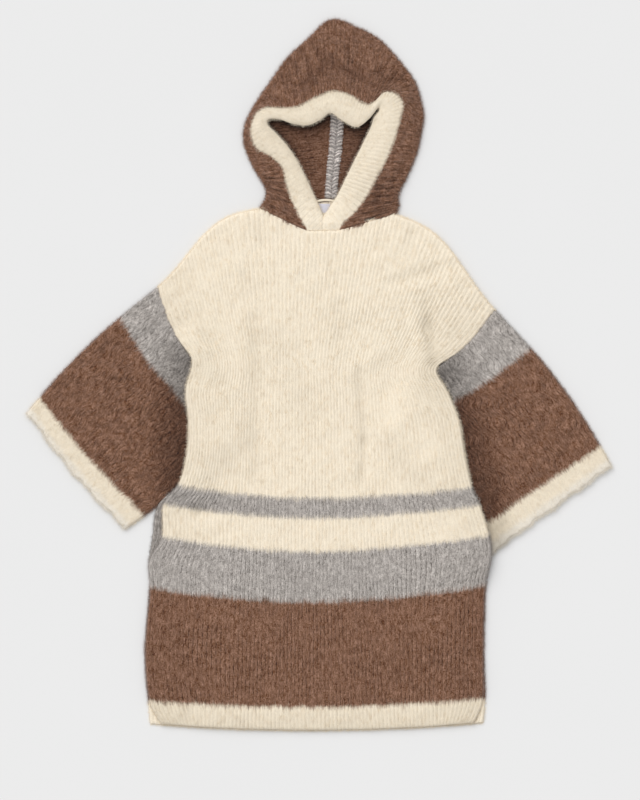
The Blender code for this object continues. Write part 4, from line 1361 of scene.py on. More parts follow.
def sleeve_shade(flat):
    """Darker towards the body, whose edge hangs over the sleeve."""
    shade = np.zeros(flat.shape[:-1])
    for corners in TUCKED_CORNERS:
        away = distance_outside(flat, corners)
        shade = np.maximum(shade, 1.0 - smooth(away / SLEEVE_SHADE_REACH))
    return shade * SLEEVE_SHADE


# -------------------- hood


def hood_places(count):
    """Places counted in sections for count + 1 columns, evenly spaced along the hood's middle."""
    table = np.array(HOOD_SECTIONS)
    fine = np.linspace(0.0, len(table) - 1.0, HOOD_SAMPLES * len(table))
    read = through(table, fine)
    length = lengths_along((read[:, 3:5] + read[:, 6:8]) / 2)
    return np.interp(np.linspace(0.0, length[-1], count + 1), length, fine)


def seam_x(y):
    return np.interp(y, [point.y for point in SEAM_LINE], [point.x for point in SEAM_LINE])


def hood_inward(table, places, fold, band, seam):
    """Ways in from the hood's outline, above and below. At the neck they follow its edge."""
    last = len(table) - 1.0
    before = through(table, np.clip(places - HOOD_STEP, 0.0, last))[:, 6:8]
    after = through(table, np.clip(places + HOOD_STEP, 0.0, last))[:, 6:8]
    run = unit(after - before)
    square = np.column_stack([run[:, 1], -run[:, 0]])
    from_neck = np.minimum(places, last - places)
    at_neck = np.clip(1.0 - from_neck / NECK_BLEND, 0.0, 1.0)[:, None]
    over = unit(lerp(square, unit(band - fold), at_neck))
    under = unit(lerp(square, unit(seam - fold), at_neck))
    return over, under


def joined(flat, height):
    """Places on the surface, raised to these heights."""
    return np.column_stack([flat, np.broadcast_to(height, (len(flat),))])


EDGE_ROWS, BAND_ROWS, CROWN_ROWS, LINING_ROWS = 4, 9, 24, 22
UNDER_SHARES = (0.25, 0.6, 1.0)  # of the way from the fold to the back seam, for the lowest rows
CROWN_SHARES = (0.75, 0.5, 0.25, 0.0)  # of the way from the band's edge to the fold, inside
BAND_INNER_SHARES = (0.6, 0.3)  # of the way from the face edge to the band's edge, inside
BAND_INNER_SHADE = 0.5
NECK_BLEND = 0.2  # sections over which the outline gives way to the neck's edge
FACE_RIB = 0.4  # of the ribs' height on the face edge
JOIN_TUCK = 1.8  # of each band's edge over the other's, where they meet at the neck
JOIN_TOP = (846.0, 858.0)  # heights between which the two bands part
BAND_SLANT = 3.4  # ribs that a rib of the band slants by at the neck
BAND_SLANT_REACH = 8.0  # sections from the neck to where the slant has gone
BAND_SMOOTH = 0.05  # what the brushing leaves of the band's ribs at the crown
BAND_END_REACH = 0.8  # sections from the neck over which the band flattens towards its end
BAND_END_DROP = 2.2  # how much lower its ends are
BAND_START = 0.06  # share of the band's width where its first row lies
BAND_SHAPE = (0.7, 1.3)  # the less, the fuller the band's inner half and its outer half
BAND_SHADES = (0.13, 0.05)  # shading of the band on its left and its right
BAND_SHADE_BLEND = 8.0  # sections about the crown over which one gives way to the other
BAND_SIDE_SHADE = 0.1  # more of it at the band's edges
BAND_SHADE_REACH = 6.0  # sections from the neck over which that shading sets in
NECK_PAINTED_LIGHT, NECK_PAINTED_LIGHT_REACH = 0.12, 4.0  # painted light: the band's ends are paler, up to so many sections away, against their shade where they drop below the front
# Ribs from the neck between which brushing smooths the band away, on its left and its right.
BAND_BRUSHED_LEFT = (4.0, 14.0)
BAND_BRUSHED_RIGHT = (12.0, 28.0)
BAND_BRUSHED = 0.96  # share of its ribs' looks that is brushed away there
BAND_BRUSHED_TO = 0.8  # share of its width up to which that is so
CROWN_RIPPLE, CROWN_RIPPLE_LENGTHS, CROWN_SEED = 1.2, (24.0, 52.0), 31
# Loft of the crown between the band and the fold, its swing, and radians of that to a rib.
CROWN_SLACK, SLACK_SWING, SLACK_TURN = 0.9, 0.5, 0.21
# Height of the crown's ribs: its mean and swing, and radians of that to a rib and over the crown.
CROWN_MEAN, CROWN_SWING, CROWN_TURNS, CROWN_SLOPE = 0.85, 0.35, (1.7, 0.37), 9.0
# How steeply the creases set in from the band and from the fold.
HOLLOW_STARTS = (4.0, 6.0)
CROWN_SHADE = -0.1  # paler than the rest, as its brushed tips face the light
LINING_RIB = 0.75  # of the ribs' height on the inside
HOOD_SHADE = 0.13  # of the shading, on the whole inside of the hood
RIM_SHADES = ((1.2, 8.0), (0.5, 26.0))  # more of it beside the edge that hangs over, and its reach
RIM_LOW, RIM_HIGH = 900.0, 1000.0  # places up the hood where it has least and most of that
RIM_LEAST = 0.3
# The creases of the crown and of the hood's sides.
HOLLOWS = table(
    Fold,
    (0, 1134, 7, 1086, 3.6, 2.8),
    (10, 1126, 14, 1092, 3, 2.4),
    (-22, 1120, -16, 1092, 3.4, 2.4),
    (22, 1116, 24, 1084, 3, 2.2),
    (-40, 1102, -32, 1078, 3.6, 2.0),
    (48, 1128, 54, 1100, 3.4, 2.2),
    (30, 1096, 74, 1076, 11, 2.6),
    (-6, 1082, -30, 1058, 8, 2.0),
    (96, 1086, 138, 1074, 10, 2.0),
    (-72, 1080, -44, 1066, 9, 1.8),
    (-96, 1040, -62, 1044, 8, 1.6),
    (6, 1086, -20, 1062, 9, 1.4),
    (86, 1060, 118, 1066, 8, 1.4),
    (-96, 928, -64, 919, 2.2, 1.5),
    (-92, 915, -60, 906, 2.4, 2.1),
    (-88, 903, -56, 896, 2.2, 2.6),
    (-86, 889, -62, 886, 2.4, 2.8),
    (-84, 878, -46, 871, 2.2, 2.6),
    (-78, 864, -50, 858, 2.4, 2.5),
    (-62, 852, -36, 843, 2.2, 1.9),
    (108, 966, 150, 963, 2.4, 1.4),
    (102, 951, 146, 950, 2.5, 1.6),
    (106, 938, 142, 933, 2.4, 2.0),
    (96, 925, 138, 921, 2.5, 2.5),
    (92, 910, 128, 907, 2.4, 2.8),
    (84, 894, 130, 895, 2.5, 3.0),
    (78, 881, 122, 881, 2.4, 3.0),
    (68, 867, 124, 871, 2.5, 3.0),
    (62, 854, 108, 856, 2.4, 2.5),
    (50, 840, 104, 847, 2.4, 2.0),
    (98, 896, 100, 852, 9, 1.6),
)
HOLLOW_SHADE = 0.1  # shading of the hood's creases for each millimetre of their depth
HOLLOW_SWAY, SWAY_LENGTHS = 2.2, (17.0, 41.0)  # how far the creases stray from straight lines
SWAY_SEEDS = (33, 34)


def hollows(flat):
    """How far the hood's creases sink its crown and its sides."""
    sway = [HOLLOW_SWAY * ripples(flat, SWAY_LENGTHS, seed) for seed in SWAY_SEEDS]
    return sunk_by(flat + np.stack(sway, axis=-1), HOLLOWS)


def rim_shade(flat, face):
    """Shading of the hood's inside close to the edge that hangs over it."""
    gaps = norm(flat[:, :, None] - face[None, None], axis=-1).min(axis=-1)
    shade = np.max([shade * np.exp(-gaps / reach) for shade, reach in RIM_SHADES], axis=0)
    return shade * lerp(RIM_LEAST, 1.0, smooth((flat[..., 1] - RIM_LOW) / (RIM_HIGH - RIM_LOW)))


HoodRow = namedtuple("HoodRow", "points ribs along place shade")


def hood_rows(rib_height):
    """Rows of points across the hood's ribs: from the face edge over the fold and back inside."""
    table = np.array(HOOD_SECTIONS)
    places = hood_places(HOOD_RIBS * RIB_POINTS)
    last = len(table) - 1.0
    ribs = np.arange(len(places)) / RIB_POINTS
    read = through(table, places)
    face, face_z, band, band_z = read[:, 0:2], read[:, 2], read[:, 3:5], read[:, 5]
    fold, seam_y, bunch = read[:, 6:8], read[:, 8], read[:, 9]
    turn = np.sign(places - HOOD_CROWN)
    seam = np.column_stack([seam_x(seam_y) + turn * HOOD_SEAM_SLIT, seam_y])
    face[:, 0] -= turn * JOIN_TUCK * (1.0 - smooth((face[:, 1] - JOIN_TOP[0]) / np.ptp(JOIN_TOP)))
    over, under = hood_inward(table, places, fold, band, seam)
    rim = fold + over * FOLD_HALF
    from_neck = np.minimum(places, last - places)
    slant = turn * BAND_SLANT * (1.0 - smooth(from_neck / BAND_SLANT_REACH))
    brushed = np.minimum(
        smooth((ribs - BAND_BRUSHED_LEFT[0]) / np.ptp(BAND_BRUSHED_LEFT)),
        smooth((HOOD_RIBS - ribs - BAND_BRUSHED_RIGHT[0]) / np.ptp(BAND_BRUSHED_RIGHT)),
    )
    banded = lerp(1.0, BAND_SMOOTH, brushed)
    band_way = unit(band - face)
    band_run = norm(band - face, axis=1)
    crown_run = norm(rim - band, axis=1)
    count = len(places)
    rows = []

    def ridge(here, strength=1.0):
        return rib_height * bunch * rib_profile(here) * strength

    def add(flat, height, along, place, shade=0.0, here=ribs):
        values = (np.broadcast_to(value, (count,)) for value in (here, along, place, shade))
        rows.append(HoodRow(joined(flat, height), *values))

    # The face edge, rounded from the inner side to the outer.
    radius = WALL / 2.0
    at_face = ribs + slant
    full = smooth(from_neck / BAND_END_REACH)
    drop = BAND_END_DROP * (1.0 - full)
    for angle in np.radians(FACE_ANGLES):
        flat = face + band_way * radius * (1.0 - math.cos(angle))
        height = face_z - radius + radius * math.sin(angle) + FACE_RIB * ridge(at_face, banded)
        height = height - drop * (1.0 + math.sin(angle)) / 2
        add(flat, height, 0.0, 0.0, here=at_face)
    # The band and the crown, out to the fold.
    rightward = smooth((places - HOOD_CROWN) / BAND_SHADE_BLEND + 0.5)
    band_shade = lerp(*BAND_SHADES, rightward)
    apart = smooth(from_neck / BAND_SHADE_REACH)
    for share in np.linspace(BAND_START, 1.0, BAND_ROWS):
        here = ribs + slant * (1.0 - share)
        shade = (band_shade + BAND_SIDE_SHADE * (2.0 * share - 1.0) ** 2) * apart
        # painted light at the band's ends, where they drop below the front and lie in its shade
        shade = shade - NECK_PAINTED_LIGHT * (1.0 - smooth(from_neck / NECK_PAINTED_LIGHT_REACH))
        roundness = BAND_SHAPE[share >= 0.5]
        puff = BAND_PUFF * math.sin(math.pi * share) ** roundness * full - drop
        height = lerp(face_z, band_z, share) + puff + ridge(here, lerp(banded, 1.0, share**3))
        add(lerp(face, band, share), height, band_run * share, BAND_WIDTH * share, shade, here)
    slack = CROWN_SLACK * (1.0 + np.sin(ribs * SLACK_TURN) * SLACK_SWING)
    for share in np.linspace(0.0, 1.0, CROWN_ROWS)[1:]:
        flat = lerp(band, rim, share)
        free = math.sin(math.pi * share)
        height = lerp(band_z, 2 * FOLD_HALF, share) + slack * free
        height = height + CROWN_RIPPLE * ripples(flat, CROWN_RIPPLE_LENGTHS, CROWN_SEED) * free
        near_band, near_fold = HOLLOW_STARTS
        sunk = hollows(flat) * min(1.0, near_band * share, near_fold * (1.0 - share))
        height = height + sunk
        strength = CROWN_SWING * np.sin(ribs * CROWN_TURNS[0] + CROWN_SLOPE * share)
        strength = CROWN_MEAN + strength * np.sin(ribs * CROWN_TURNS[1])
        along = band_run + crown_run * share
        shade = CROWN_SHADE * free - sunk * HOLLOW_SHADE
        add(flat, height + ridge(ribs, strength), along, BAND_WIDTH + crown_run * share, shade)
    fold_along = band_run + crown_run
    fold_place = BAND_WIDTH + crown_run
    for angle in FOLD_ANGLES[1:]:
        rise = math.radians(angle)
        inward = over if angle >= 0 else under
        reach = FOLD_HALF * (1.0 - math.cos(rise))
        flat = fold + inward * reach - inward * (ridge(ribs) * math.cos(rise))[:, None]
        height = FOLD_HALF * (1.0 + math.sin(rise)) + ridge(ribs) * max(math.sin(rise), 0.0)
        add(flat, height, fold_along + FOLD_HALF * (1.6 - rise), fold_place + 5.0)
    under_run = norm(seam - fold, axis=1)
    for share in UNDER_SHARES:
        flat = lerp(fold + under * FOLD_HALF, seam, share)
        add(flat, 0.0, fold_along + under_run * share, fold_place + 9.0)
    # The inner face: the back of the hood, then the underside of the crown and the band.
    level_inset = HOOD_INSET + HOOD_ROUND
    for share in np.linspace(1.0, 0.0, LINING_ROWS):
        flat = lerp(fold + under * level_inset, seam, share)
        height = WALL + LINING_RIB * ridge(ribs, min(1.0, 5.0 * share)) / bunch
        shade = lerp(HOOD_SHADE, 1.0, rim_shade(flat[None], face)[0])
        add(flat, height, fold_along + under_run * share, fold_place + 9.0, shade)
    add(fold + (over + under) / 2 * HOOD_INSET, FOLD_HALF, fold_along, fold_place, 1.0)
    inner_height = 2 * FOLD_HALF - HOOD_INNER_DROP
    add(fold + over * level_inset, inner_height, fold_along, fold_place, 1.0)
    for share in CROWN_SHARES:
        flat = lerp(band, fold + over * 2 * HOOD_INSET, share)
        height = lerp(band_z, 2 * FOLD_HALF, share) - WALL
        add(flat, height, band_run + crown_run * share, BAND_WIDTH + crown_run * share, 1.0)
    for share in BAND_INNER_SHARES:
        flat = lerp(face, band, share)
        height = lerp(face_z, band_z, share) - WALL
        add(flat, height, band_run * share, BAND_WIDTH * share, BAND_INNER_SHADE)
    return rows


def band_brushed(graph, rib, place):
    """The cream band, away from the neck."""
    left = graph.between(rib, *BAND_BRUSHED_LEFT)
    right = graph.between(graph.maths("SUBTRACT", HOOD_RIBS, rib), *BAND_BRUSHED_RIGHT)
    away = graph.maths("MINIMUM", left, right)
    end = BAND_WIDTH / HOOD_DEPTH
    inside = graph.between(place, BAND_BRUSHED_TO * end, end, BAND_BRUSHED, 0.0)
    return graph.times(away, inside)


def build_hood(rib_height):
    """The hood's wall, the parts of it that carry fibres, and its bands."""
    rows = hood_rows(rib_height)
    points = np.stack([row.points for row in rows], axis=1)
    knit = np.stack([np.column_stack([row.ribs, row.along * MM]) for row in rows], axis=1)
    yarn = np.stack([np.column_stack([row.place / HOOD_DEPTH, row.shade]) for row in rows], axis=1)
    bands = [Band(0.0, "cream"), Band(BAND_WIDTH, "brown")]
    band_end = EDGE_ROWS + BAND_ROWS
    fold_row = band_end + CROWN_ROWS - 1
    lining = fold_row + len(FOLD_ANGLES) - 1 + len(UNDER_SHARES)
    material = knit_material("hood_knit", bands, HOOD_DEPTH, HOOD_SWIRL, band_brushed, FACE_CHANGE)
    cloth = closed_cloth("hood_cloth", points, knit, yarn, lining, material)

    def part(rows):
        return Surface(points[:, rows], knit[:, rows], yarn[:, rows])

    faces = {
        "band": part(slice(EDGE_ROWS - 1, band_end)),
        "crown": part(slice(band_end + 1, fold_row + 2)),
        "lining": part(slice(lining, lining + LINING_ROWS)),
        "fold": part(fold_row + 2),
        "face": part(1),
        "band_end": part(band_end - 1),
    }
    return cloth, faces, bands


# -------------------- trims


def rings_faces(rings, sides):
    """Faces between rings of points that follow each other, closed at both ends."""
    ids = np.arange(rings * sides).reshape(rings, sides)
    around = np.roll(ids, -1, axis=1)
    quads = np.stack([ids[:-1], around[:-1], around[1:], ids[1:]], axis=-1).reshape(-1, 4)
    return quads.tolist() + [ids[0].tolist()[::-1], ids[-1].tolist()]


def tube(path, radii, sides):
    """Points and faces of a round strand along a path, closed at both ends."""
    path = np.asarray(path, float)
    run = unit(np.gradient(path, axis=0))
    side = unit(np.cross(run, [0.0, 0.0, 1.0]))
    up = np.cross(side, run)
    turns = np.linspace(0.0, 2.0 * math.pi, sides, endpoint=False)[None, :, None]
    ring = np.cos(turns) * side[:, None] + np.sin(turns) * up[:, None]
    points = path[:, None] + ring * np.asarray(radii, float)[:, None, None]
    return points.reshape(-1, 3), rings_faces(len(path), sides)


def join_parts(parts):
    """Points, faces and a number for each point that tells the parts apart."""
    points, faces, numbers, start = [], [], [], 0
    for index, (new_points, new_faces) in enumerate(parts):
        points.append(new_points)
        faces += [[corner + start for corner in face] for face in new_faces]
        numbers += [index] * len(new_points)
        start += len(new_points)
    return np.concatenate(points), faces, np.array(numbers, float)


SEAM_SEED = 51
SEAM_FLOOR = WALL + LAYER_GAP
SEAM_STRAND_ENDS = (RIDGE_START + 2, RIDGE_END - 4)  # heights of the first strand and the last
SEAM_PITCH = 5.6
STITCH_LINE = ((877, 21.5), (916, 23.7), (957, 28.4), (990, 31.2), (1100, 31.5))  # Y and X
LEAST_HALF = 11.0
BED_ROWS = 30
BED_SHARE = 0.85  # of the seam's half width
# Across the bed of the stitches: shares of its half width, and heights.
BED_ACROSS = np.array([-1.0, -0.75, -0.4, -0.08, 0.08, 0.4, 0.75, 1.0])
BED_HEIGHTS = np.array([0.1, 1.3, 1.7, 0.6, 0.6, 1.7, 1.3, 0.1])
BED_SHADE = 0.6  # how much darker the bed is than its strands
STRAND = 1.65  # half a strand's thickness, at its most
STRAND_WIDTHS = (0.75, 1.1)
STRAND_BELLY = (0.8, 0.3)  # of that at the strand's ends, and how much more in its middle
STRAND_POINTS, STRAND_SIDES = 8, 6
STRAND_LEAN, STRAND_BOW = 3.4, 1.4
STRAND_START, STRAND_MARGIN = 0.9, 1.9  # from the seam's middle, and from its edge
STRAND_RISE, STRAND_ARCH = 1.0, 1.9
ARCH_REACH, ARCH_SHAPE = 1.05, 0.6  # where the arch ends, and the less, the fuller it is
STRAND_STRAY = (0.6, 1.2, 0.25)  # of a strand's place, its lean and its reach
STRAND_TONE_STEP = 0.37  # ribs from one strand to the next, for their tones
SEAM_MOTTLING = 0.3
SEAM_SPECKS = {"Scale": 900.0, "Detail": 2.0}
SPECK_RANGE, SPECK_TONES = (0.3, 0.7), (0.5, 1.35)
SEAM_HAIRS = 4200
HAIR_REACH = 0.95  # of the seam's half width
HAIR_HEIGHTS = (3.7, 4.7)
HAIR_TONES = (1.0, 90.0)  # ribs, for their tones
HAIR_SHADES = (-0.4, 1.2)

LABEL_COLUMNS, LABEL_ROWS = 21, 17
LABEL_CURVE = 0.5  # how far its middle bows up
LABEL_GAP, LABEL_THICKNESS = 0.02, 0.35
THREADS = 14000.0  # radians to a metre, for the weave
THREAD_SWING, THREAD_LEVEL = 0.04, 0.97
LABEL_BUMP = {"Strength": 0.4, "Distance": 0.0002}

NECK_EDGE = ((-34, 861), (-14, 869), (0, 873), (13, 874.5), (26, 873), (42, 868.5), (60, 862))
NECK_EDGE_POINTS, NECK_EDGE_SIDES = 60, 10
NECK_EDGE_RISE, NECK_EDGE_RADIUS = 1.3, 2.0
NECK_EDGE_RIBS = 15.0
NECK_EDGE_STEP = 0.0009  # metres of yarn from one side to the next


def stitch_x(y):
    return np.interp(y, *zip(*STITCH_LINE))


def seam_half(y):
    heights, _, halves = zip(*SEAM_LINE)
    return np.maximum(np.interp(y, heights, halves), LEAST_HALF)


def build_seam():
    """The overlocked seam inside the hood: two plaited rows of grey strands on a flat bed."""
    rng = np.random.default_rng(SEAM_SEED)
    bed_y = np.linspace(RIDGE_START, RIDGE_END, BED_ROWS)
    bed_x = stitch_x(bed_y)[:, None] + BED_ACROSS * seam_half(bed_y)[:, None] * BED_SHARE
    top = np.dstack(np.broadcast_arrays(bed_x, bed_y[:, None], SEAM_FLOOR + BED_HEIGHTS))
    low = top[:, [-1, 0]]
    low[..., 2] = SEAM_FLOOR
    loops = np.concatenate([top, low], axis=1)
    parts = [(loops.reshape(-1, 3), rings_faces(*loops.shape[:2]))]
    steps = np.linspace(0.0, 1.0, STRAND_POINTS)
    arch = STRAND_ARCH * np.sin(math.pi * np.clip(steps * ARCH_REACH, 0, 1)) ** ARCH_SHAPE
    belly = STRAND_BELLY[0] + STRAND_BELLY[1] * np.sin(math.pi * steps)
    for y in np.arange(*SEAM_STRAND_ENDS, SEAM_PITCH):
        for side in (-1.0, 1.0):
            start, lean, stray = (rng.normal(0.0, spread) for spread in STRAND_STRAY)
            ys = y + start + (STRAND_LEAN + lean) * steps + STRAND_BOW * np.sin(math.pi * steps)
            reach = float(seam_half(y)) - STRAND_MARGIN + stray
            xs = stitch_x(ys) + side * (STRAND_START + reach * steps)
            path = np.column_stack([xs, ys, SEAM_FLOOR + STRAND_RISE + arch])
            parts.append(tube(path, STRAND * rng.uniform(*STRAND_WIDTHS) * belly, STRAND_SIDES))
    points, faces, numbers = join_parts(parts)
    knit = np.column_stack([numbers * STRAND_TONE_STEP, points[:, 1] * MM])
    yarn = np.column_stack([numbers * 0.0, numbers == 0.0])
    material = seam_material()
    maps = {"knit": knit, "yarn": yarn}
    stitches = new_piece("hood_seam_stitches", points, faces, maps, material)
    return stitches, seam_hairs(rng, material)


def seam_material():
    """Grey yarn, each strand with a tone of its own, and darker on the bed of the stitches."""
    material, graph, shader = new_material("seam_yarn", *FIBRE_FINISH)
    rib, _ = map_numbers(graph, "knit")
    _, bed = map_numbers(graph, "yarn")
    colour = (*bpy.context.scene.hoodie_colours.seam, 1.0)
    toned = group_node(
        graph, "Fibre tone", Rib=rib, Along=0.0, Colour=colour, Strength=SEAM_MOTTLING
    )
    coordinates = graph.add("ShaderNodeTexCoord").outputs["Object"]
    specks = graph.add("ShaderNodeTexNoise", named={"Vector": coordinates, **SEAM_SPECKS})
    factor = graph.between(specks.outputs[0], *SPECK_RANGE, *SPECK_TONES)
    factor = graph.times(factor, graph.times_plus(bed, -BED_SHADE, 1.0))
    graph.feed(shader["Base Color"], graph.scaled(toned["Colour"], factor))
    return material


def seam_hairs(rng, material):
    """Short loose fibres that cross the seam's strands."""
    y = rng.uniform(*SEAM_STRAND_ENDS, SEAM_HAIRS)
    x = stitch_x(y) + rng.uniform(-HAIR_REACH, HAIR_REACH, SEAM_HAIRS) * seam_half(y)
    z = SEAM_FLOOR + rng.uniform(*HAIR_HEIGHTS, SEAM_HAIRS)
    level = np.zeros(SEAM_HAIRS)
    angle = rng.uniform(0.0, 2.0 * math.pi, SEAM_HAIRS)
    spots = {
        "roots": np.column_stack([x, y, z]),
        "normals": np.tile(UPRIGHT, (SEAM_HAIRS, 1)),
        "ways": np.column_stack([np.cos(angle), np.sin(angle), level]),
        "knit": np.column_stack([rng.uniform(*HAIR_TONES, SEAM_HAIRS), y * MM]),
        "yarn": np.column_stack([level, rng.uniform(*HAIR_SHADES, SEAM_HAIRS)]),
        "lock": np.arange(SEAM_HAIRS),
    }
    return fuzz("hood_seam_fuzz", [(spots, SEAM_FUZZ, True)], material, SEAM_SEED + 1)


def build_label():
    """The small plain label, of which the bands leave a tip to see."""
    xs = np.linspace(LABEL_LEFT, LABEL_RIGHT, LABEL_COLUMNS)
    ys = np.linspace(LABEL_LOW, LABEL_HIGH, LABEL_ROWS)
    grid_x, grid_y = np.meshgrid(xs, ys)
    curve = LABEL_CURVE * np.sin(math.pi * (grid_x - xs[0]) / (xs[-1] - xs[0]))
    lower = np.dstack([grid_x, grid_y, SEAM_FLOOR + LABEL_GAP + curve])
    upper = lower + np.array([0.0, 0.0, LABEL_THICKNESS])
    loops = np.concatenate([upper, lower[:, ::-1]], axis=1)
    place = loops[..., :2] * MM
    material, graph, shader = new_material("label_weave", *LABEL_FINISH)
    ways = map_numbers(graph, "knit")
    threads = graph.plus(*(graph.maths("SINE", graph.times(way, THREADS)) for way in ways))
    colour = (*bpy.context.scene.hoodie_colours.label, 1.0)
    factor = graph.times_plus(threads, THREAD_SWING, THREAD_LEVEL)
    graph.feed(shader["Base Color"], graph.scaled(colour, factor))
    bump = graph.add("ShaderNodeBump", named={**LABEL_BUMP, "Height": threads})
    graph.feed(shader["Normal"], bump.outputs[0])
    return closed_cloth("neck_label_cloth", loops, place, place * 0.0, len(xs), material)


def build_neck_edge():
    """The rolled cream edge of the back's neckline, where the hood is sewn to it."""
    count, sides = NECK_EDGE_POINTS, NECK_EDGE_SIDES
    flat = through(NECK_EDGE, np.linspace(0, len(NECK_EDGE) - 1, count))
    path = joined(flat, SEAM_FLOOR + NECK_EDGE_RISE)
    points, faces = tube(path, np.full(count, NECK_EDGE_RADIUS), sides)
    rib = np.repeat(np.linspace(0.0, NECK_EDGE_RIBS, count), sides)
    knit = np.column_stack([rib, np.tile(np.arange(sides) * NECK_EDGE_STEP, count)])
    maps = {"knit": knit, "yarn": knit * 0.0}
    material = knit_material("neck_edge_knit", [Band(0.0, "cream")], 1.0)
    return new_piece("back_neck_edge", points, faces, maps, material)


# -------------------- stage

LIGHT_WAY = (-0.6, 0.8)  # towards the light, on the surface
FLOOR_HALF, FLOOR_LEVEL = 20.0, -0.0004  # metres
FLOOR_GRAIN, FLOOR_TONES = 3.0, (0.995, 1.005)
SENSOR = 36.0


def build_stage(settings):
    """The white surround, the soft light, the floor and the camera above the middle."""
    scene = bpy.context.scene
    scene.view_settings.view_transform = "Standard"
    world = bpy.data.worlds.new("studio")
    world.use_nodes = True
    background = world.node_tree.nodes["Background"]
    background.inputs["Color"].default_value = (1.0, 1.0, 1.0, 1.0)
    background.inputs["Strength"].default_value = settings.surround
    scene.world = world
    lamp = bpy.data.lights.new("softbox", "SUN")
    lamp.energy = settings.softbox
    lamp.angle = settings.softbox_width
    light = bpy.data.objects.new("softbox", lamp)
    lean = math.sin(settings.softbox_tilt)
    way = Vector((lean * LIGHT_WAY[0], lean * LIGHT_WAY[1], math.cos(settings.softbox_tilt)))
    light.rotation_mode = "QUATERNION"
    light.rotation_quaternion = way.to_track_quat("Z", "Y")
    scene.collection.objects.link(light)

    mesh = bpy.data.meshes.new("floor")
    square = ((-1, -1), (1, -1), (1, 1), (-1, 1))
    corners = [(x * FLOOR_HALF, y * FLOOR_HALF, FLOOR_LEVEL) for x, y in square]
    mesh.from_pydata(corners, [], [(0, 1, 2, 3)])
    material, graph, shader = new_material("pale_floor", *FLOOR_FINISH)
    shader["Specular IOR Level"].default_value = 0.0
    coordinates = graph.add("ShaderNodeTexCoord").outputs["Object"]
    grain = graph.add("ShaderNodeTexNoise", named={"Vector": coordinates, "Scale": FLOOR_GRAIN})
    level = graph.between(grain.outputs[0], 0.0, 1.0, *FLOOR_TONES)
    graph.feed(shader["Base Color"], graph.scaled((*settings.floor, 1.0), level))
    mesh.materials.append(material)
    floor = bpy.data.objects.new("floor", mesh)
    scene.collection.objects.link(floor)

    camera = bpy.data.cameras.new("camera")
    camera.lens = settings.lens
    camera.sensor_width = SENSOR
    height = PHOTO_HEIGHT * MM_PER_PIXEL * MM * settings.lens / camera.sensor_width
    pixels = np.array([PHOTO_WIDTH / 2 - MIDDLE_PIXEL, HEM_PIXEL - PHOTO_HEIGHT / 2, 0.0])
    middle = on_frame(pixels * MM_PER_PIXEL)
    view = bpy.data.objects.new("camera", camera)
    view.location = (middle[0], middle[1], height + settings.focus_height)
    camera.clip_end = height * 4
    scene.collection.objects.link(view)
    scene.camera = view


# -------------------- fibres

BODY_FUZZ = FuzzStyle(8.5, 18.0, 8.0, 0.3, 40.0, 12.0)
EDGE_FUZZ = FuzzStyle(5.0, 50.0, 8.0, 0.18, 60.0, 0.0)
SLEEVE_FUZZ = FuzzStyle(8.5, 14.0, 8.0, 0.26, 26.0, 11.0)
SMOOTH_FUZZ = FuzzStyle(7.0, 20.0, 2.5, 0.3, 40.0, 6.0)
CUFF_FUZZ = FuzzStyle(7.0, 26.0, 2.0, 0.15, 40.0, 0.0)
BRIM_FUZZ = FuzzStyle(5.0, 40.0, 3.0, 0.2, 50.0, 0.0)
HOOD_FUZZ = FuzzStyle(7.5, 24.0, 8.0, 0.32, 50.0, 24.0)
HOOD_LINING_FUZZ = FuzzStyle(6.0, 26.0, 8.0, 0.3, 50.0, 16.0)
BAND_FUZZ = FuzzStyle(4.4, 26.0, 3.0, 0.16, 50.0, 0.0)
SEAM_FUZZ = FuzzStyle(3.0, 40.0, 4.0, 0.34, 60.0, 0.0)
NECK_FUZZ = FuzzStyle(5.0, 24.0, 5.0, 0.3, 40.0, 0.0)
BAND_END_FUZZ = FuzzStyle(4.6, 30.0, 1.6, 0.3, 55.0, 0.0)

# A row or a column of a face along which fibres stand, how many, and their style.
FibreEdge = namedtuple("FibreEdge", "rows columns count style")
EVERY = slice(None)
BODY_EDGES = table(
    FibreEdge,
    (EVERY, 0, 2600, EDGE_FUZZ),
    (EVERY, -1, 2600, EDGE_FUZZ),
    (0, EVERY, 3500, EDGE_FUZZ),
)
FRONT_EDGES = (*BODY_EDGES, FibreEdge(-1, EVERY, 3500, EDGE_FUZZ))
BACK_EDGES = (*BODY_EDGES, FibreEdge(-1, EVERY, 500, EDGE_FUZZ))
FRONT_BRIMS = table(
    FibreEdge,
    (EVERY, RIB_POINTS, 2200, BRIM_FUZZ),
    (EVERY, -1 - RIB_POINTS, 2200, BRIM_FUZZ),
    (-3, EVERY, 4500, BRIM_FUZZ),
)
SLEEVE_EDGES = table(
    FibreEdge,
    (EVERY, 0, 1800, EDGE_FUZZ),
    (EVERY, -1, 1500, EDGE_FUZZ),
    (1, EVERY, 1000, EDGE_FUZZ),
    (-2, EVERY, 2600, CUFF_FUZZ),
)
UNDER_EDGES = (FibreEdge(-2, EVERY, 500, CUFF_FUZZ),)
FOLD_EDGES = (FibreEdge(EVERY, EVERY, 5000, EDGE_FUZZ),)
# How many fibres lie over each face, and how many of them to a lock.
BODY_LOCK = 4
SLEEVE_FIBRES, SLEEVE_LOCK = 17000, 6
CUFF_FIBRES, CUFF_LOCK = 2400, 3
HOOD_COATS = (
    ("crown", 22000, 5, HOOD_FUZZ),
    ("band", 3000, 3, SMOOTH_FUZZ),
    ("lining", 8000, 4, HOOD_LINING_FUZZ),
)
FACE_FIBRES, BAND_EDGE_FIBRES, HOOD_END_FIBRES = 3000, 2200, 700
CUFF_ROWS = 14
BAND_TUFT = 5.0  # how far inside the cream band the fibres at its outer edge have their colour
# Places that the fibres at the edges head away from.
BODY_MIDDLE = np.array([0.0, 400.0, 0.0])
HOOD_MIDDLE = np.array([20.0, 980.0, 0.0])
BODY_SEED, HOOD_SEED = 61, 91
SLEEVE_SEEDS = {"sleeve_left": 71, "sleeve_right": 81}


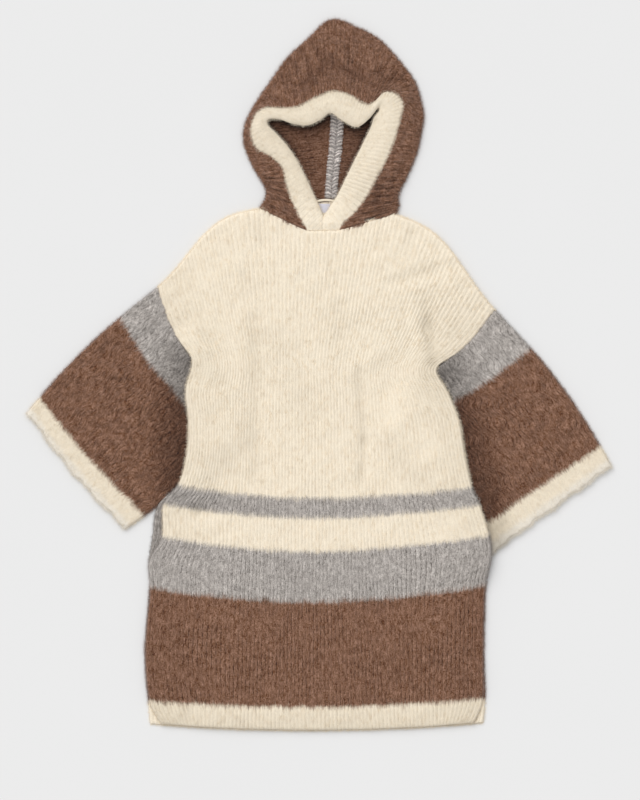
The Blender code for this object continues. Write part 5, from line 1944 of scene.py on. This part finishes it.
def edge_batches(surface, middle, edges, rng):
    """Batches of fibres along these edges of a face, which head away from the middle."""
    batches = []
    for edge in edges:
        place = [grid[edge.rows, edge.columns] for grid in surface]
        spots = edge_spots(place, outward_from(place[0], middle), edge.count, rng)
        batches.append((spots, edge.style, False))
    return batches


# -------------------- add-on


def size(name, description, default):
    return bpy.props.FloatProperty(
        name=name, description=description, default=default, unit="LENGTH", precision=4
    )


def strength(name, description, default):
    return bpy.props.FloatProperty(name=name, description=description, default=default, min=0.0)


def angle(name, description, default):
    return bpy.props.FloatProperty(
        name=name, description=description, default=default, subtype="ANGLE"
    )


def colour(name, description, default):
    return bpy.props.FloatVectorProperty(
        name=name, description=description, default=default, size=3, subtype="COLOR", min=0, max=1
    )


class HoodieCloth(bpy.types.PropertyGroup):
    rib_height: size("Rib height", "How far a rib stands above the valleys beside it", 0.0012)
    fibres: bpy.props.IntProperty(
        name="Fibres",
        description="Fibres on the front, apart from those at its edges",
        default=42000,
        min=1000,
    )


class HoodieColours(bpy.types.PropertyGroup):
    cream: colour("Cream", "Colour of the cream yarn", (0.87, 0.77, 0.615))
    grey: colour("Grey", "Colour of the grey yarn", (0.42, 0.385, 0.357))
    brown: colour("Brown", "Colour of the brown yarn", (0.212, 0.105, 0.061))
    cuff: colour("Cuff", "Colour of the cuffs' thin, brushed ends", (0.85, 0.785, 0.68))
    seam: colour("Seam", "Colour of the grey strands on the hood's back seam", (0.68, 0.62, 0.585))
    label: colour("Label", "Colour of the neck label", (0.74, 0.72, 0.80))


class HoodieStage(bpy.types.PropertyGroup):
    floor: colour("Floor", "Colour of the floor", (0.80, 0.80, 0.80))
    surround: strength("Surround", "Strength of the light from all round", 0.62)
    softbox: strength("Softbox", "Strength of the soft light from above", 1.75)
    softbox_width: angle("Softbox width", "Angle that the light fills", 1.0)
    softbox_tilt: angle("Softbox tilt", "Lean of the light from upright", 0.7)
    lens: bpy.props.FloatProperty(
        name="Lens", description="Focal length of the camera", default=200.0, unit="CAMERA"
    )
    focus_height: size("Focus height", "Height at which the photo's scale holds", 0.008)


def settle(piece, slot, *nodes):
    """A piece rides on the garment and stands for these solids, which it hides. The slot is not
    used.
    """
    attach(piece, "root")
    if nodes:
        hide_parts(*nodes)
    return piece


class HOODIE_OT_stage(bpy.types.Operator):
    """Add the floor, the lights and the camera"""

    bl_idname = "hoodie.stage"
    bl_label = "Add Stage"

    def execute(self, context):
        build_stage(context.scene.hoodie_stage)
        return {"FINISHED"}


class HOODIE_OT_body(bpy.types.Operator):
    """Add the front and the back, ribbed and striped, with their fibres"""

    bl_idname = "hoodie.body"
    bl_label = "Add Body"

    def execute(self, context):
        cloth = context.scene.hoodie_cloth
        rib_height = cloth.rib_height / MM
        for name, build, edges, flat, area in (
            ("front", build_front, FRONT_EDGES, (0.58, 0.85), 0.445),
            ("back", build_back, BACK_EDGES, (0.59, 0.87), 0.46),
        ):
            piece, surface, bands, total = build(rib_height)
            settle(piece, "cream_knit", name)
            rng = np.random.default_rng(BODY_SEED)
            batches = edge_batches(surface, BODY_MIDDLE, edges, rng)
            if name == "front":
                batches.append((scatter(surface, cloth.fibres, rng, BODY_LOCK), BODY_FUZZ, True))
                batches += edge_batches(surface, BODY_MIDDLE, FRONT_BRIMS, rng)
            material = fibre_material(f"{name}_fibres", bands, total)
            halo = fuzz(f"{name}_fuzz", batches, material, BODY_SEED + 1)
            settle(halo, "cream_knit")
        return {"FINISHED"}


class HOODIE_OT_sleeves(bpy.types.Operator):
    """Add both sleeves with their fibres and their tufted cuffs"""

    bl_idname = "hoodie.sleeves"
    bl_label = "Add Sleeves"

    def execute(self, context):
        rib_height = context.scene.hoodie_cloth.rib_height / MM
        for name, seed in SLEEVE_SEEDS.items():
            piece, top, under = build_sleeve(name, rib_height, seed)
            settle(piece, "brown_knit", name)
            rng = np.random.default_rng(seed + 5)
            middle = top.points.mean(axis=(0, 1))
            batches = edge_batches(top, middle, SLEEVE_EDGES, rng)
            batches += edge_batches(under, middle, UNDER_EDGES, rng)
            furry = Surface(*(grid[: 1 - CUFF_ROWS] for grid in top))
            cuff = Surface(*(grid[-CUFF_ROWS:] for grid in top))
            spots = scatter(furry, SLEEVE_FIBRES, rng, SLEEVE_LOCK)
            batches.append((spots, SLEEVE_FUZZ, True))
            batches.append((scatter(cuff, CUFF_FIBRES, rng, CUFF_LOCK), SMOOTH_FUZZ, True))
            material = fibre_material(f"{name}_fibres", sleeve_bands(), SLEEVE_LENGTH)
            halo = fuzz(f"{name}_fuzz", batches, material, seed)
            settle(halo, "brown_knit")
        return {"FINISHED"}


class HOODIE_OT_hood(bpy.types.Operator):
    """Add the hood with its cream face band and its fibres"""

    bl_idname = "hoodie.hood"
    bl_label = "Add Hood"

    def execute(self, context):
        piece, faces, bands = build_hood(context.scene.hoodie_cloth.rib_height / MM)
        settle(piece, "brown_knit", "hood")
        rng = np.random.default_rng(HOOD_SEED)
        face, ending = faces["face"], faces["band_end"]
        ending.yarn[:, 0] -= BAND_TUFT / HOOD_DEPTH
        batches = edge_batches(faces["fold"], HOOD_MIDDLE, FOLD_EDGES, rng)
        for edge, way, count in ((face, -1.0, FACE_FIBRES), (ending, 1.0, BAND_EDGE_FIBRES)):
            outward = way * outward_from(edge.points, HOOD_MIDDLE)
            batches.append((edge_spots(edge, outward, count, rng), BAND_FUZZ, False))
        for part, count, lock, style in HOOD_COATS:
            batches.append((scatter(faces[part], count, rng, lock), style, True))
        for part, style in (("band", BAND_END_FUZZ), ("crown", NECK_FUZZ)):
            ends = [FibreEdge(end, EVERY, HOOD_END_FIBRES, style) for end in (0, -1)]
            batches += edge_batches(faces[part], HOOD_MIDDLE, ends, rng)
        material = fibre_material("hood_fibres", bands, HOOD_DEPTH, FACE_CHANGE)
        halo = fuzz("hood_fuzz", batches, material, HOOD_SEED + 1)
        settle(halo, "brown_knit")
        return {"FINISHED"}


class HOODIE_OT_trims(bpy.types.Operator):
    """Add the hood's plaited back seam, the neck's rolled edge and the plain label"""

    bl_idname = "hoodie.trims"
    bl_label = "Add Trims"

    def execute(self, context):
        stitches, hairs = build_seam()
        settle(stitches, "grey_knit", "hood_back_seam")
        settle(hairs, "grey_knit")
        settle(build_label(), "label", "neck_label")
        settle(build_neck_edge(), "cream_knit")
        return {"FINISHED"}


class HOODIE_PT_panel(bpy.types.Panel):
    bl_idname = "HOODIE_PT_panel"
    bl_label = "Knit Hoodie"
    bl_space_type = "VIEW_3D"
    bl_region_type = "UI"
    bl_category = "Hoodie"

    def draw(self, context):
        scene = context.scene
        for group in (scene.hoodie_cloth, scene.hoodie_colours, scene.hoodie_stage):
            box = self.layout.box()
            for name in group.__annotations__:
                box.prop(group, name)
        for operator in STEPS:
            self.layout.operator(operator.bl_idname)


STEPS = (
    HOODIE_OT_stage,
    HOODIE_OT_body,
    HOODIE_OT_sleeves,
    HOODIE_OT_hood,
    HOODIE_OT_trims,
)
GROUPS = {
    "hoodie_cloth": HoodieCloth,
    "hoodie_colours": HoodieColours,
    "hoodie_stage": HoodieStage,
}


def register():
    for cls in (*GROUPS.values(), *STEPS, HOODIE_PT_panel):
        bpy.utils.register_class(cls)
    for name, cls in GROUPS.items():
        setattr(bpy.types.Scene, name, bpy.props.PointerProperty(type=cls))


def unregister():
    for name in GROUPS:
        delattr(bpy.types.Scene, name)
    for cls in (HOODIE_PT_panel, *reversed(STEPS), *reversed(GROUPS.values())):
        bpy.utils.unregister_class(cls)


def main():
    register()
    bpy.ops.hoodie.stage()
    bpy.ops.hoodie.body()
    bpy.ops.hoodie.sleeves()
    bpy.ops.hoodie.hood()
    bpy.ops.hoodie.trims()


if __name__ == "__main__":
    main()
